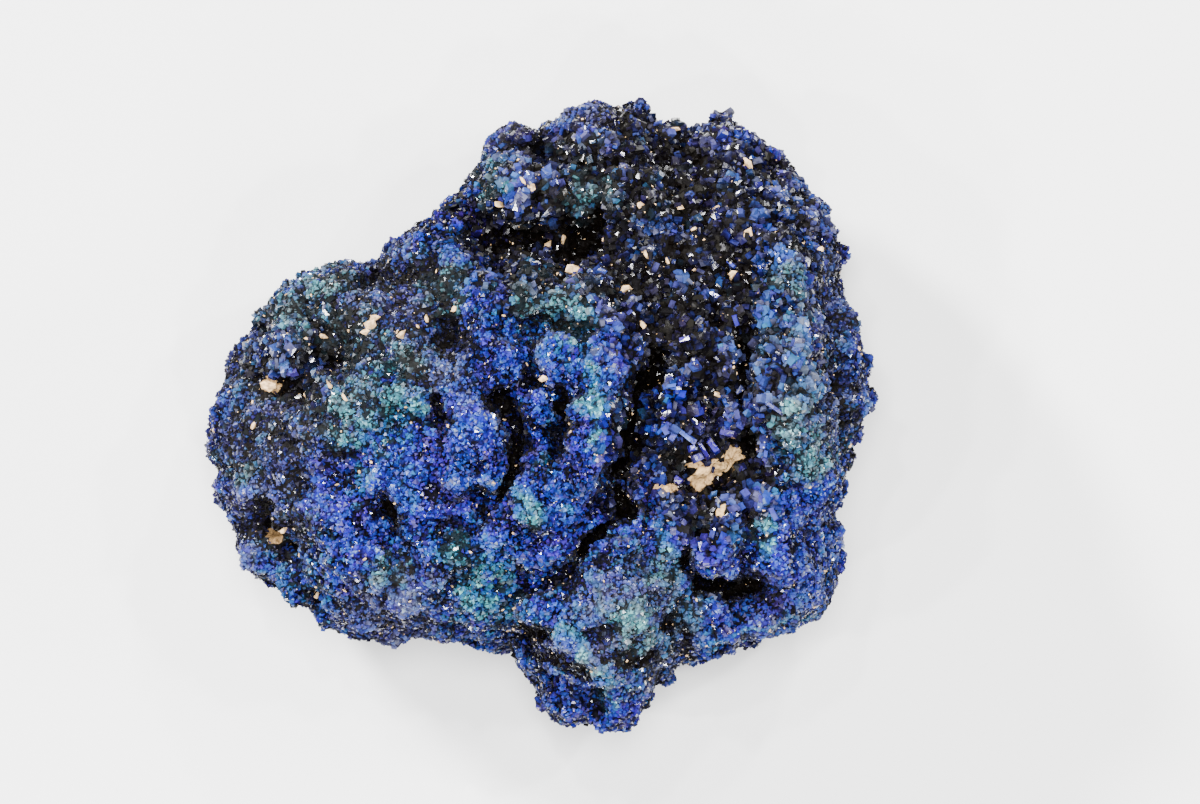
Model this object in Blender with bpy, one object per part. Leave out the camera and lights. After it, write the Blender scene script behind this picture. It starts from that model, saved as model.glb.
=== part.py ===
"""An azurite specimen, 66 mm wide, lying on its broken back with its show face up.

Axes: +X to the right and +Y to the top of the show face, +Z up.
The origin is under the middle, on the surface that the piece rests on.
Every place below is in millimetres in that plan, and every height or depth is in millimetres too.
"""

import math

import bmesh
import bpy
import numpy as np
from mathutils import Vector, noise

MM = 0.001
SEED = 17

# Driving dimensions of the whole piece
WIDEST_LEVEL = 14.5
DOME_HEIGHT = 15.5
BACK_DEPTH = 15.4
SHOULDER_POWER = 2.5
CRUST_STANDOFF = 2.0

# The middle that the outline turns round, and how soon its notches fade towards it
OUTLINE_CENTRE = (0.7, -0.2)
NOTCH_FADE = 5.0
SMOOTH_OUTLINE_SPAN = 24

# The mesh that the form is laid on, and what is left of it
SPHERE_STEPS = 7
EVEN_VOXEL = 0.45
TRIANGLE_SHARE = 0.037

# Rounded lumps of the crust: how many at most, their radius, and how far they stand out
LUMPS = ((260, 4.6, 0.8), (800, 2.5, 0.85))
QUIET_BACK = 0.45

# Blocky crystals packed over the whole crust: how many at most, half width, height, and tilt of the top
BLOCKS = 1700
BLOCK_SPACING = 1.9
BLOCK_HALF_WIDTH = (0.75, 1.5)
BLOCK_HEIGHT = (0.3, 1.0)
BLOCK_TILT = 0.5
BLOCK_WALL_STEEPNESS = 3.0
ROUGHNESS = 0.5
ROUGHNESS_SCALE = 0.16

# How much the listed heights of the ridges and depths of the gullies are stretched
CREST_GAIN = 1.25
FLOOR_GAIN = 1.45
FLOOR_WIDENING = 1.15

# How far, and over what length, the ridges and gullies wander from their lines
WANDER = 1.1
WANDER_SCALE = 0.17

# Coarse crystals, which crowd the upper right
ROSETTES = 40
CRYSTALS_IN_ROSETTE = 3
ROSETTE_SPACING = 3.4
ROSETTE_SPREAD = 0.7
CRYSTAL_WIDTH = (1.4, 2.2)
CRYSTAL_THICKNESS = (0.8, 1.2)
CRYSTAL_LENGTH = (2.4, 3.0)
CRYSTAL_SUNK = 0.68
CRYSTAL_LEAN = 0.6

# The outline of the show face, clockwise from its highest point
OUTLINE = (
    (5.9, 32.0), (8.4, 31.0), (9.6, 30.2), (10.3, 31.0), (11.4, 30.1), (14.2, 29.7),
    (15.6, 29.0), (17.4, 29.6), (19.0, 29.8), (20.5, 29.0), (22.0, 27.4), (23.8, 26.7),
    (25.9, 25.7), (26.7, 23.6), (28.4, 22.2), (29.4, 20.3), (30.1, 17.8), (29.9, 15.0),
    (31.0, 12.8), (32.2, 9.3), (32.9, 6.8), (33.1, 3.3), (32.6, 0.3), (31.8, -3.0),
    (31.1, -6.2), (30.8, -9.0), (30.0, -10.5), (30.5, -13.2), (30.3, -16.2), (29.5, -18.4),
    (28.0, -20.2), (24.7, -21.8), (21.2, -22.8), (19.7, -23.7), (17.5, -23.8), (15.4, -24.7),
    (14.5, -24.2), (13.8, -25.2), (12.6, -26.3), (11.6, -26.9), (10.7, -28.9), (9.4, -31.0),
    (8.4, -32.0), (6.9, -31.7), (5.7, -31.2), (4.0, -31.5), (2.6, -30.9), (1.7, -29.5),
    (1.5, -28.2), (0.3, -26.9), (-0.8, -26.0), (-1.1, -24.2), (-1.6, -22.4), (-2.6, -21.0),
    (-3.5, -22.3), (-3.8, -23.2), (-4.8, -23.6), (-6.8, -23.2), (-9.8, -22.6), (-12.0, -21.9),
    (-13.5, -20.6), (-14.1, -21.9), (-15.6, -22.5), (-18.8, -21.9), (-21.6, -20.8),
    (-23.8, -18.9), (-25.4, -18.5), (-27.6, -16.2), (-29.5, -14.4), (-30.7, -11.7),
    (-31.7, -9.0), (-32.6, -7.0), (-33.1, -3.7), (-33.1, -0.2), (-32.7, 2.0), (-31.7, 4.0),
    (-29.6, 7.5), (-28.0, 8.5), (-27.6, 10.4), (-26.6, 12.0), (-24.8, 13.7), (-22.1, 14.9),
    (-19.3, 14.6), (-16.7, 14.8), (-15.5, 15.8), (-15.4, 17.5), (-14.1, 18.0), (-13.6, 19.5),
    (-11.8, 19.9), (-9.3, 21.9), (-6.6, 23.9), (-4.8, 25.2), (-4.0, 25.8), (-4.6, 27.8),
    (-3.8, 29.3), (-2.3, 29.5), (-0.8, 29.0), (1.2, 29.7), (2.8, 30.7), (4.2, 31.6),
)

# Broad swells and slacks of the show face: middle, radius, and rise
SWELLS = (
    ((-14.0, -5.5), 13.0, 3.4),
    ((5.0, -1.0), 9.0, 2.4),
    ((25.0, 2.0), 8.0, 2.6),
    ((7.5, -19.0), 6.0, 2.6),
    ((24.0, -15.0), 6.0, 1.4),
    ((2.0, 22.0), 12.0, -2.4),
    ((16.0, 12.0), 9.0, -0.8),
    ((-24.0, 6.0), 7.0, -1.2),
)

# Ridges of the show face: the line of the crest, its half width, and its height. One point is a knob.
RIDGES = {
    "teal_shoulder": (((-21.6, -1.4), (-19.3, 0.6), (-16.6, 2.0), (-13.3, 3.3), (-10.6, 4.0)), 3.2, 2.2),
    "long_finger": (((-8.3, 6.8), (-7.0, 2.8), (-6.8, -1.2), (-5.4, -4.4)), 3.0, 2.2),
    "finger_tip": (((-4.9, -3.4),), 2.8, 1.6),
    "short_finger": (((-5.0, 8.6), (-3.3, 7.0), (-2.0, 5.0)), 1.9, 2.6),
    "arch": (
        ((-3.8, 11.8), (-1.3, 13.1), (1.7, 12.5), (4.5, 10.6), (6.5, 8.0),
         (7.2, 5.0), (6.7, 1.3), (5.7, -2.2), (5.2, -5.2)),
        3.1, 3.2),
    "arch_foot": (((5.2, -5.2), (2.7, -7.2), (-0.8, -9.0), (-3.3, -10.4)), 3.0, 2.6),
    "arch_knob": (((1.7, 6.8),), 2.5, 2.8),
    "hollow_knob_north": (((0.0, 0.3),), 2.4, 1.4),
    "hollow_knob_south": (((-0.6, -4.6),), 2.4, 1.2),
    "belly": (((-9.8, -14.2), (-5.8, -12.9), (-1.8, -13.9), (2.0, -12.4)), 3.0, 1.6),
    "lobe_rim": (
        ((-20.8, -11.2), (-17.3, -14.2), (-13.3, -17.0), (-8.8, -18.2), (-3.8, -18.6), (0.7, -19.0)),
        2.4, 2.0),
    "west_brow": (((-29.3, -8.0), (-25.8, -8.1), (-22.8, -9.6), (-20.8, -12.7)), 1.7, 1.8),
    "north_west_fold": (((-25.5, 8.8), (-24.6, 11.3), (-22.0, 13.0), (-19.3, 12.8)), 2.4, 1.6),
    "blue_knob": (((-18.1, 10.3),), 2.2, 1.4),
    "wedge": (((-8.8, 17.8), (-7.3, 14.8), (-6.8, 11.8), (-8.3, 9.8)), 2.3, 2.0),
    "north_fold": (((6.2, 29.8), (7.4, 26.8), (8.7, 23.8), (10.2, 20.8)), 3.0, 1.8),
    "north_west_edge": (((-1.8, 23.0), (-5.3, 22.0), (-8.8, 20.0), (-12.3, 17.6)), 2.8, 1.4),
    "corner_knob": (((-2.6, 28.0),), 2.0, 1.6),
    "east_crest": (
        ((23.7, 16.8), (24.7, 12.8), (24.4, 8.8), (24.2, 4.8), (25.2, 0.8), (25.8, -3.2), (26.8, -6.2)),
        2.9, 3.4),
    "east_flank": (((29.7, 11.8), (31.0, 6.8), (31.4, 1.8), (30.7, -2.2)), 1.9, 1.6),
    "south_east_crest": (((23.2, -8.2), (23.7, -12.2), (25.2, -15.4), (27.7, -17.7)), 2.8, 2.0),
    "ring_knob": (((17.7, -12.8),), 3.2, 2.4),
    "cave_lip": (((16.2, -19.9), (19.7, -20.8), (23.2, -19.8)), 2.4, 2.0),
    "foot_knob": (((7.4, -18.6),), 4.8, 2.8),
    "foot_spine": (((11.7, -8.7), (13.0, -12.2), (12.4, -16.2), (11.7, -19.7), (10.2, -22.2)), 2.3, 2.0),
    "foot_band": (((1.5, -20.7), (3.4, -23.0), (6.0, -24.2), (8.0, -26.5)), 1.7, 2.8),
    "foot_band_east": (((10.2, -24.2), (12.7, -23.2), (15.2, -20.7)), 2.0, 1.6),
    "foot_heel": (((3.8, -28.4),), 2.3, 1.2),
    "foot_toe": (((7.6, -29.6),), 2.3, 1.2),
    "middle_fold": (((12.7, 1.8), (14.2, 4.8), (15.2, 7.3)), 2.4, 1.8),
    "crystal_comb": (((14.4, 0.2), (16.2, -2.2)), 1.9, 1.6),
    "west_edge": (((-31.6, 1.0), (-31.4, -3.8), (-30.3, -7.4)), 1.8, 0.8),
}

# Gullies and pits of the show face: the line of the floor, its half width, and its depth
GULLIES = {
    "deep_gully": (
        ((11.4, 5.4), (10.3, 2.8), (9.4, -0.2), (8.5, -3.7), (8.1, -6.7), (8.6, -9.0)),
        1.7, 8.5),
    "south_groove": (
        ((7.6, -8.6), (6.0, -11.7), (3.7, -14.7), (0.7, -16.7), (-2.3, -17.9), (-2.6, -21.0)),
        1.4, 4.6),
    "arch_hollow": (((-1.8, 8.8), (0.7, 9.4), (3.4, 8.4)), 1.2, 4.0),
    "inner_hollow": (((-0.8, 4.2), (0.9, 3.2), (2.3, -0.2), (2.4, -3.4)), 1.4, 4.2),
    "finger_hollow": (((-3.8, 3.0), (-2.6, 0.8), (-2.1, -2.2), (-2.4, -5.7), (-4.1, -8.0)), 1.5, 5.2),
    "belly_groove": (((-4.8, -9.4), (-7.3, -11.0), (-10.3, -12.4), (-13.0, -13.2)), 1.2, 2.4),
    "lobe_pit": (((-15.5, -7.9), (-14.3, -9.7), (-14.0, -11.2)), 0.9, 4.5),
    "west_cave": (((-26.6, -9.9), (-25.3, -11.4), (-23.8, -13.2)), 2.3, 6.0),
    "south_west_pit": (((-22.3, -17.2),), 1.3, 3.5),
    "shoulder_hollow": (((-26.8, 3.3), (-23.8, 2.3), (-21.3, 3.3), (-19.3, 4.8)), 1.8, 3.2),
    "finger_gap": (((-10.2, 2.0), (-9.8, 0.2)), 0.9, 3.2),
    "finger_root": (((-8.6, 10.0), (-8.5, 8.4), (-9.8, 6.0)), 1.3, 3.0),
    "north_hollow": (((-4.3, 16.3), (-0.8, 16.8), (2.7, 15.6), (5.4, 17.4)), 3.2, 5.5),
    "north_gap": (((6.7, 24.3), (4.7, 25.0), (2.2, 25.6), (-1.8, 25.8)), 1.3, 3.0),
    "north_east_slack": (((12.7, 25.3), (14.2, 24.3), (15.2, 25.3)), 2.2, 2.4),
    "corner_pit": (((23.2, 24.0),), 1.5, 3.5),
    "east_hollow": (((21.0, 7.3), (20.6, 4.8), (20.2, 1.8), (20.8, -1.4)), 1.6, 4.6),
    "east_groove": (
        ((27.4, 13.3), (28.0, 9.8), (28.4, 6.3), (28.8, 2.8), (29.6, -0.7), (29.4, -3.2)),
        1.2, 4.0),
    "matrix_window": (((16.2, -7.0), (18.2, -5.0), (20.4, -3.4)), 1.9, 2.8),
    "east_cave": (((16.7, -16.4), (19.2, -17.0), (22.0, -16.8)), 1.7, 7.0),
    "spine_groove": (((15.2, -10.2), (15.0, -12.7), (15.2, -15.2)), 1.0, 3.5),
    "knob_groove": (((20.9, -11.6), (20.4, -14.4)), 1.0, 2.6),
    "south_east_gap": (((25.6, -11.8), (26.4, -14.0)), 1.0, 2.6),
    "foot_cave": (((1.8, -25.0), (4.0, -25.9), (6.2, -26.8)), 1.5, 4.5),
    "foot_back": (((-0.9, -21.7), (0.3, -21.2)), 1.5, 4.5),
    "foot_dimple": (((13.4, -18.9), (13.2, -21.2)), 1.2, 2.8),
    "north_west_slack": (((-16.8, 13.0), (-13.8, 13.6), (-10.8, 13.6)), 1.5, 2.2),
    "rim_groove": (((-13.8, -19.6), (-10.8, -20.4), (-6.8, -20.6), (-3.3, -20.6)), 0.9, 2.0),
}

# Hollows of the broken back and the sides, which nobody sees in the show view: middle, radius, and depth
BACK_HOLLOWS = (
    ((-21.0, -4.0, 3.0), 6.0, 2.2),
    ((20.0, 12.0, 2.0), 6.5, 2.6),
    ((17.0, -14.0, 3.0), 5.5, 2.0),
    ((-6.0, 18.0, 5.0), 5.0, 1.8),
    ((-10.0, -20.0, 8.0), 4.0, 1.6),
    ((31.0, -8.0, 9.0), 4.0, 1.5),
)

REST_CUT_HEIGHT = 12.0
REST_CUT_REACH = 90.0


def clear_scene():
    for existing in list(bpy.data.objects):
        bpy.data.objects.remove(existing, do_unlink=True)


def stone_material():
    material = bpy.data.materials.new("azurite")
    material.use_nodes = True
    finish = material.node_tree.nodes["Principled BSDF"]
    finish.inputs["Base Color"].default_value = (0.02, 0.035, 0.26, 1.0)
    finish.inputs["Roughness"].default_value = 0.42
    finish.inputs["Metallic"].default_value = 0.0
    return material


def sphere_directions():
    """The unit directions and triangles of an even ball of triangles."""
    ball = bmesh.new()
    bmesh.ops.create_icosphere(ball, subdivisions=SPHERE_STEPS, radius=1.0)
    ball.verts.ensure_lookup_table()
    directions = np.array([vertex.co[:] for vertex in ball.verts])
    triangles = [[vertex.index for vertex in face.verts] for face in ball.faces]
    ball.free()
    return directions / np.linalg.norm(directions, axis=1)[:, None], triangles


def outline_reach(bearing):
    """The reach of the outline at each bearing: the true one, and one with its notches smoothed."""
    points = np.array(OUTLINE) - np.array(OUTLINE_CENTRE)
    bearings = np.arctan2(points[:, 1], points[:, 0])
    reaches = np.hypot(points[:, 0], points[:, 1]) - CRUST_STANDOFF
    order = np.argsort(bearings)
    true = np.interp(bearing, bearings[order], reaches[order], period=2 * math.pi)
    even = np.linspace(-math.pi, math.pi, 360, endpoint=False)
    spread = np.interp(even, bearings[order], reaches[order], period=2 * math.pi)
    window = np.hanning(2 * SMOOTH_OUTLINE_SPAN + 1)
    padded = np.concatenate([spread[-SMOOTH_OUTLINE_SPAN:], spread, spread[:SMOOTH_OUTLINE_SPAN]])
    smooth = np.convolve(padded, window / window.sum(), mode="valid")
    return true, np.interp(bearing, even, smooth, period=2 * math.pi)


def bare_body(directions):
    """The rounded body inside the outline, before any ridge or lump, in millimetres."""
    level = np.hypot(directions[:, 0], directions[:, 1])
    bearing = np.arctan2(directions[:, 1], directions[:, 0])
    true, smooth = outline_reach(bearing)
    inward = level ** (2 / SHOULDER_POWER)
    reach = inward * (smooth + (true - smooth) * inward**NOTCH_FADE)
    rise = np.abs(directions[:, 2]) ** (2 / SHOULDER_POWER)
    body = np.empty_like(directions)
    body[:, 0] = OUTLINE_CENTRE[0] + reach * np.cos(bearing)
    body[:, 1] = OUTLINE_CENTRE[1] + reach * np.sin(bearing)
    body[:, 2] = WIDEST_LEVEL + np.where(directions[:, 2] > 0, DOME_HEIGHT, -BACK_DEPTH) * rise
    return body


def distance_to_line(plan, line):
    """The distance in plan from each point to a line of one or more points."""
    line = np.array(line, float)
    nearest = np.linalg.norm(plan - line[0], axis=1)
    for start, end in zip(line[:-1], line[1:]):
        along = end - start
        share = np.clip((plan - start) @ along / (along @ along), 0.0, 1.0)
        nearest = np.minimum(nearest, np.linalg.norm(plan - start - share[:, None] * along, axis=1))
    return nearest


def wandering(points):
    """The plan of each point, moved a little so that no line on the show face runs straight or even."""
    moved = np.array([noise.noise_vector(Vector(place) * WANDER_SCALE)[:2] for place in points])
    finer = np.array([noise.noise_vector(Vector(place) * WANDER_SCALE * 2.7)[:2] for place in points])
    return points[:, :2] + WANDER * (moved + 0.45 * finer)


def show_face_relief(plan):
    """How much the swells, ridges and gullies raise each point of the show face."""
    relief = np.zeros(len(plan))
    for middle, radius, rise in SWELLS:
        relief += rise * np.exp(-((distance_to_line(plan, (middle,)) / radius) ** 2))
    crest = np.zeros(len(plan))
    for line, half_width, height in RIDGES.values():
        share = distance_to_line(plan, line) / half_width
        crest = np.maximum(crest, CREST_GAIN * height * np.exp(-1.1 * share**2))
    floor = np.zeros(len(plan))
    for line, half_width, depth in GULLIES.values():
        share = distance_to_line(plan, line) / (FLOOR_WIDENING * half_width)
        floor = np.maximum(floor, FLOOR_GAIN * depth * np.exp(-1.1 * share**3))
    return relief + crest - floor


def outward(points, triangles):
    """The outward direction at each point."""
    corners = np.array(triangles)
    sides = points[corners]
    face = np.cross(sides[:, 1] - sides[:, 0], sides[:, 2] - sides[:, 0])
    found = np.zeros_like(points)
    for corner in range(3):
        np.add.at(found, corners[:, corner], face)
    return found / np.maximum(np.linalg.norm(found, axis=1), 1e-12)[:, None]


def spaced_sites(points, count, spacing, draw, weight=None):
    """Up to count places among the points, no two nearer than spacing, likelier where weight is high."""
    chosen = []
    cells = {}
    order = draw.permutation(len(points))
    if weight is not None:
        order = order[draw.random(len(order)) < weight[order]]
    for index in order:
        place = points[index]
        cell = tuple((place // spacing).astype(int))
        near = [
            other
            for i in (-1, 0, 1)
            for j in (-1, 0, 1)
            for k in (-1, 0, 1)
            for other in cells.get((cell[0] + i, cell[1] + j, cell[2] + k), ())
        ]
        if all(np.linalg.norm(points[other] - place) >= spacing for other in near):
            cells.setdefault(cell, []).append(index)
            chosen.append(index)
            if len(chosen) == count:
                break
    return chosen


def lump_relief(points, draw):
    """How far the rounded lumps of the crust stand out at each point, less on the worn back."""
    relief = np.zeros(len(points))
    vigour = QUIET_BACK + (1.0 - QUIET_BACK) * np.clip(points[:, 2] / WIDEST_LEVEL, 0.0, 1.0)
    for count, radius, height in LUMPS:
        sites = spaced_sites(points, count, radius * 1.15, draw)
        best = np.zeros(len(points))
        for site in sites:
            share = radius * draw.uniform(0.75, 1.15)
            away = np.linalg.norm(points - points[site], axis=1)
            swell = np.sqrt(np.clip(1.0 - (away / share) ** 2, 0.0, 1.0))
            best = np.maximum(best, height * draw.uniform(0.6, 1.0) * swell)
        relief += best * vigour
    return relief


def block_relief(points, out, draw):
    """How far the flat-topped, straight-sided crystals packed over the crust stand out at each point."""
    relief = np.zeros(len(points))
    for site in spaced_sites(points, BLOCKS, BLOCK_SPACING, draw):
        normal = Vector(out[site])
        across = normal.orthogonal().normalized()
        along = normal.cross(across)
        spin = draw.uniform(0, math.pi)
        first = np.array(across * math.cos(spin) + along * math.sin(spin))
        second = np.cross(np.array(normal), first)
        near = np.flatnonzero(np.abs(points - points[site]).max(axis=1) < 2 * BLOCK_HALF_WIDTH[1])
        away = points[near] - points[site]
        widths = draw.uniform(*BLOCK_HALF_WIDTH, 2)
        edge = np.maximum(np.abs(away @ first) / widths[0], np.abs(away @ second) / widths[1])
        wall = np.clip((1.0 - edge) * BLOCK_WALL_STEEPNESS, 0.0, 1.0)
        tilts = BLOCK_TILT * draw.uniform(-1, 1, 2)
        tilt = 1.0 + tilts[0] * (away @ first) + tilts[1] * (away @ second)
        relief[near] = np.maximum(relief[near], draw.uniform(*BLOCK_HEIGHT) * wall * np.clip(tilt, 0.0, 2.0))
    return relief


def rough_relief(points):
    """The uneven ground between the lumps."""
    uneven = [noise.fractal(Vector(place) * ROUGHNESS_SCALE, 1.0, 2.1, 4) for place in points]
    return ROUGHNESS * np.array(uneven)


def back_relief(points):
    relief = np.zeros(len(points))
    for middle, radius, depth in BACK_HOLLOWS:
        away = np.linalg.norm(points - np.array(middle), axis=1)
        relief -= depth * np.exp(-((away / radius) ** 2))
    return relief


def stone_form(draw):
    """The points and triangles of the whole crust, in millimetres."""
    directions, triangles = sphere_directions()
    points = bare_body(directions)
    facing_up = np.clip((points[:, 2] - WIDEST_LEVEL) / (0.45 * DOME_HEIGHT), 0.0, 1.0)
    points[:, 2] += show_face_relief(wandering(points)) * facing_up**0.7
    out = outward(points, triangles)
    points += out * (lump_relief(points, draw) + rough_relief(points) + back_relief(points))[:, None]
    out = outward(points, triangles)
    points += out * block_relief(points, out, draw)[:, None]
    return points, triangles


def mesh_object(name, points, faces):
    mesh = bpy.data.meshes.new(name)
    mesh.from_pydata([tuple(place) for place in points * MM], [], faces)
    mesh.update()
    made = bpy.data.objects.new(name, mesh)
    bpy.context.scene.collection.objects.link(made)
    return made


def crystal_corners(width, thickness, length):
    """A tabular crystal standing on Z: a flat blade with a bevelled, wedge-shaped end."""
    wide, thick = width / 2, thickness / 2
    shoulder = length * 0.78
    base = [(-wide, -thick, 0), (wide, -thick, 0), (wide, thick, 0), (-wide, thick, 0)]
    upper = [(x, y, shoulder) for x, y, _ in base]
    return base + upper + [(-0.55 * wide, 0.1 * thick, length), (0.55 * wide, 0.1 * thick, length)]


CRYSTAL_FACES = (
    (0, 3, 2, 1), (0, 1, 5, 4), (1, 2, 6, 5), (2, 3, 7, 6), (3, 0, 4, 7),
    (4, 5, 9, 8), (6, 7, 8, 9), (5, 6, 9), (7, 4, 8),
)


def coarse_crystals(points, triangles, draw):
    """All the coarse crystals as one helper: small sprays of blades, each blade closed."""
    out = outward(points, triangles)
    coarse = 0.25 + 0.75 * np.clip((points[:, 0] + points[:, 1] + 6.0) / 30.0, 0.0, 1.0)
    coarse *= points[:, 2] > 4.0
    corners = []
    faces = []
    sites = spaced_sites(points, ROSETTES, ROSETTE_SPACING, draw, coarse)
    for site in np.repeat(sites, CRYSTALS_IN_ROSETTE):
        size = [draw.uniform(*span) for span in (CRYSTAL_WIDTH, CRYSTAL_THICKNESS, CRYSTAL_LENGTH)]
        lean = CRYSTAL_LEAN * draw.uniform(-1, 1, 3)
        axis = Vector(out[site] + lean).normalized()
        turn = axis.to_track_quat("Z", "Y").to_matrix()
        root = Vector(points[site] + ROSETTE_SPREAD * lean / CRYSTAL_LEAN)
        spin = draw.uniform(0, 2 * math.pi)
        first = len(corners)
        for x, y, z in crystal_corners(*size):
            spun = (x * math.cos(spin) - y * math.sin(spin), x * math.sin(spin) + y * math.cos(spin))
            corners.append(root + turn @ Vector((*spun, z - CRYSTAL_SUNK * size[2])))
        faces += [tuple(first + corner for corner in face) for face in CRYSTAL_FACES]
    helper = mesh_object("coarse_crystals", np.array([corner[:] for corner in corners]), faces)
    helper.hide_render = True
    helper.display_type = "WIRE"
    return helper


def rest_cutter():
    """A slab under the floor level, which leaves the broken back flat where the piece rests."""
    slab = bmesh.new()
    bmesh.ops.create_cube(slab, size=1.0)
    size = Vector((REST_CUT_REACH, REST_CUT_REACH, REST_CUT_HEIGHT)) * MM
    bmesh.ops.scale(slab, vec=size, verts=slab.verts)
    bmesh.ops.translate(slab, vec=Vector((0, 0, -REST_CUT_HEIGHT / 2)) * MM, verts=slab.verts)
    mesh = bpy.data.meshes.new("rest_cutter")
    slab.to_mesh(mesh)
    slab.free()
    helper = bpy.data.objects.new("rest_cutter", mesh)
    bpy.context.scene.collection.objects.link(helper)
    helper.hide_render = True
    helper.display_type = "WIRE"
    return helper


def combine(target, helper, operation):
    step = target.modifiers.new(operation.lower(), "BOOLEAN")
    step.operation = operation
    step.solver = "EXACT"
    step.use_self = operation == "UNION"
    step.object = helper


def azurite_cluster():
    """The whole specimen, which grew as one piece."""
    draw = np.random.default_rng(SEED)
    points, triangles = stone_form(draw)
    cluster = mesh_object("azurite_cluster", points, triangles)
    cluster.data.materials.append(stone_material())
    even = cluster.modifiers.new("even", "REMESH")
    even.mode = "VOXEL"
    even.voxel_size = EVEN_VOXEL * MM
    fewer = cluster.modifiers.new("fewer", "DECIMATE")
    fewer.ratio = TRIANGLE_SHARE
    combine(cluster, coarse_crystals(points, triangles, draw), "UNION")
    combine(cluster, rest_cutter(), "DIFFERENCE")
    return cluster


clear_scene()
azurite_cluster()
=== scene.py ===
"""An azurite specimen: a dark ground with tens of thousands of separate crystals grown on it.

The solid of the specimen gives the form. A finer ground is made a little inside it, and crystals, long blades and
grains of matrix are set on that ground, so that their tips reach the solid again. The flat scar that the specimen
rests on stays bare. Places on the show face are in millimetres: x to the right and y to the top as the camera sees
it.
"""

import math

import bmesh
import bpy
import numpy as np
from bpy.props import FloatProperty, FloatVectorProperty, IntProperty, PointerProperty
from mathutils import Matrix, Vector
from mathutils.bvhtree import BVHTree


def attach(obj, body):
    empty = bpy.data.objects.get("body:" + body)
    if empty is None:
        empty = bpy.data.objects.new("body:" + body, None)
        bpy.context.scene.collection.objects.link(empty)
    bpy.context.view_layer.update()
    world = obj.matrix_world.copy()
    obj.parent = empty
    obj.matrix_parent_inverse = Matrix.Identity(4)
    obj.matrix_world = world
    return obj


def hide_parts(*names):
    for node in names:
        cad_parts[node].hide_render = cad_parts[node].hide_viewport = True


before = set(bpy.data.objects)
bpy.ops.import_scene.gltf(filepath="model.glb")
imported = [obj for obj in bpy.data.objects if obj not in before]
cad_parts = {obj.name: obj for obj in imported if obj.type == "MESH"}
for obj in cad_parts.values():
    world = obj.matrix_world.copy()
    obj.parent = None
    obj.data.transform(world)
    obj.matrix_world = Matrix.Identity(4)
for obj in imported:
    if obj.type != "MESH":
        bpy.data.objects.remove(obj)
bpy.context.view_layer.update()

bl_info = {
    "name": "Azurite specimen",
    "version": (1, 0, 0),
    "blender": (4, 5, 0),
    "location": "View3D > Sidebar > Azurite",
    "description": "Builds a specimen of grown-together azurite crystals on a pale floor",
    "category": "Object",
}

NODE = "azurite_cluster"
GROUND = "crust_ground"
CRUST_VALUES = ("teal", "coarse", "bright", "hollow", "dull", "bare", "pale", "scar")
MM = 0.001

# Lumps of the crust: width, height and seed of the large and the small ones, and the share that coarse crust adds
LUMPS = ((2.9, 0.24, 41), (1.4, 0.13, 51))
COARSE_LUMPS = 2.0
LUMP_MIDDLE = 0.62

# How much the valleys of the solid are deepened, and the most that its crests are raised for it
DEEPER_VALLEYS = 0.6
HIGHEST_CREST = 0.6

# How steeply a fold or a crevice falls off past its half width
LINE_FALL = 1.1

# Fine lines that run beside the pale edges: how far apart, and how far from the edge they fade
COMB_SPACING = 1.25
COMB_REACH = 3.2

# Rays that find how much sky each place sees, and how far they look
OPEN_RAYS = 12
OPEN_REACH = 14.0

# How pale the blue is everywhere, what bright and worn places add to it and what shade takes away
USUAL_TONE = 0.228
BRIGHT_GAIN = 0.13
WORN_GAIN = 0.08
SHADE_LOSS = 0.11

# The most crystals of each kind, and the grains of matrix that lie by chance
FINE_COUNT = 60000
COARSE_COUNT = 25500
STRAY_GRAINS = 520

# Looks of the crystals: gloss, roughness, tone added, spread of their shades and the least gleam that glints
LOOKS = {
    "velvet_azurite": (0.02, 0.4, -0.132, 0.46, 0.5),
    "blocky_azurite": (0.02, 0.3, -0.17, 0.42, 0.4),
    "bladed_azurite": (0.02, 0.3, -0.1, 0.44, 0.45),
}

# Places where the crust has turned blue-green: middle and radius
TEAL_PATCHES = (
    ((5.7, 21.8), 2.2), ((-0.6, 11.8), 2.3), ((2.6, 10.6), 1.4), ((-16.3, 1.2), 4.2), ((-24.8, 10.8), 2.4),
    ((-9.3, 12.8), 1.8), ((-18.8, 7.8), 2.2), ((-13.8, 6.2), 2.2), ((-0.3, -9.2), 2.2), ((-5.3, -16.8), 2.8),
    ((9.8, -20.8), 2.2), ((22.3, -11.2), 2.2), ((-17.2, -6.6), 1.3), ((24.7, 13.8), 1.6), ((25.2, -0.2), 2.0),
    ((27.2, -3.8), 2.2), ((11.2, -15.2), 1.7), ((-29.8, -5.2), 1.6), ((-4.8, 23.8), 1.8), ((4.4, 8.2), 1.2),
    ((5.2, 4.6), 1.4), ((5.2, 0.8), 1.5), ((-19.8, -1.0), 2.0), ((4.8, -23.6), 1.5), ((-22.0, 12.6), 2.0),
    ((-8.4, -13.6), 1.6), ((-15.0, -15.5), 1.8),
)

# Where the crust is blue-green only as a thin wash over the blue: middle and radius
TEAL_WASHES = (
    ((-21.0, 11.0), 7.0), ((-26.0, 2.0), 6.0), ((-10.0, 14.0), 5.0), ((-16.0, 2.0), 7.0), ((2.0, 11.0), 6.0),
    ((25.0, 8.0), 6.0), ((26.0, -3.0), 6.0), ((10.0, -17.0), 8.0), ((9.0, -25.0), 3.0), ((-6.0, -17.0), 7.0),
    ((-24.0, -14.0), 6.0), ((4.0, 23.0), 5.0), ((6.0, 0.0), 4.0),
)

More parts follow.
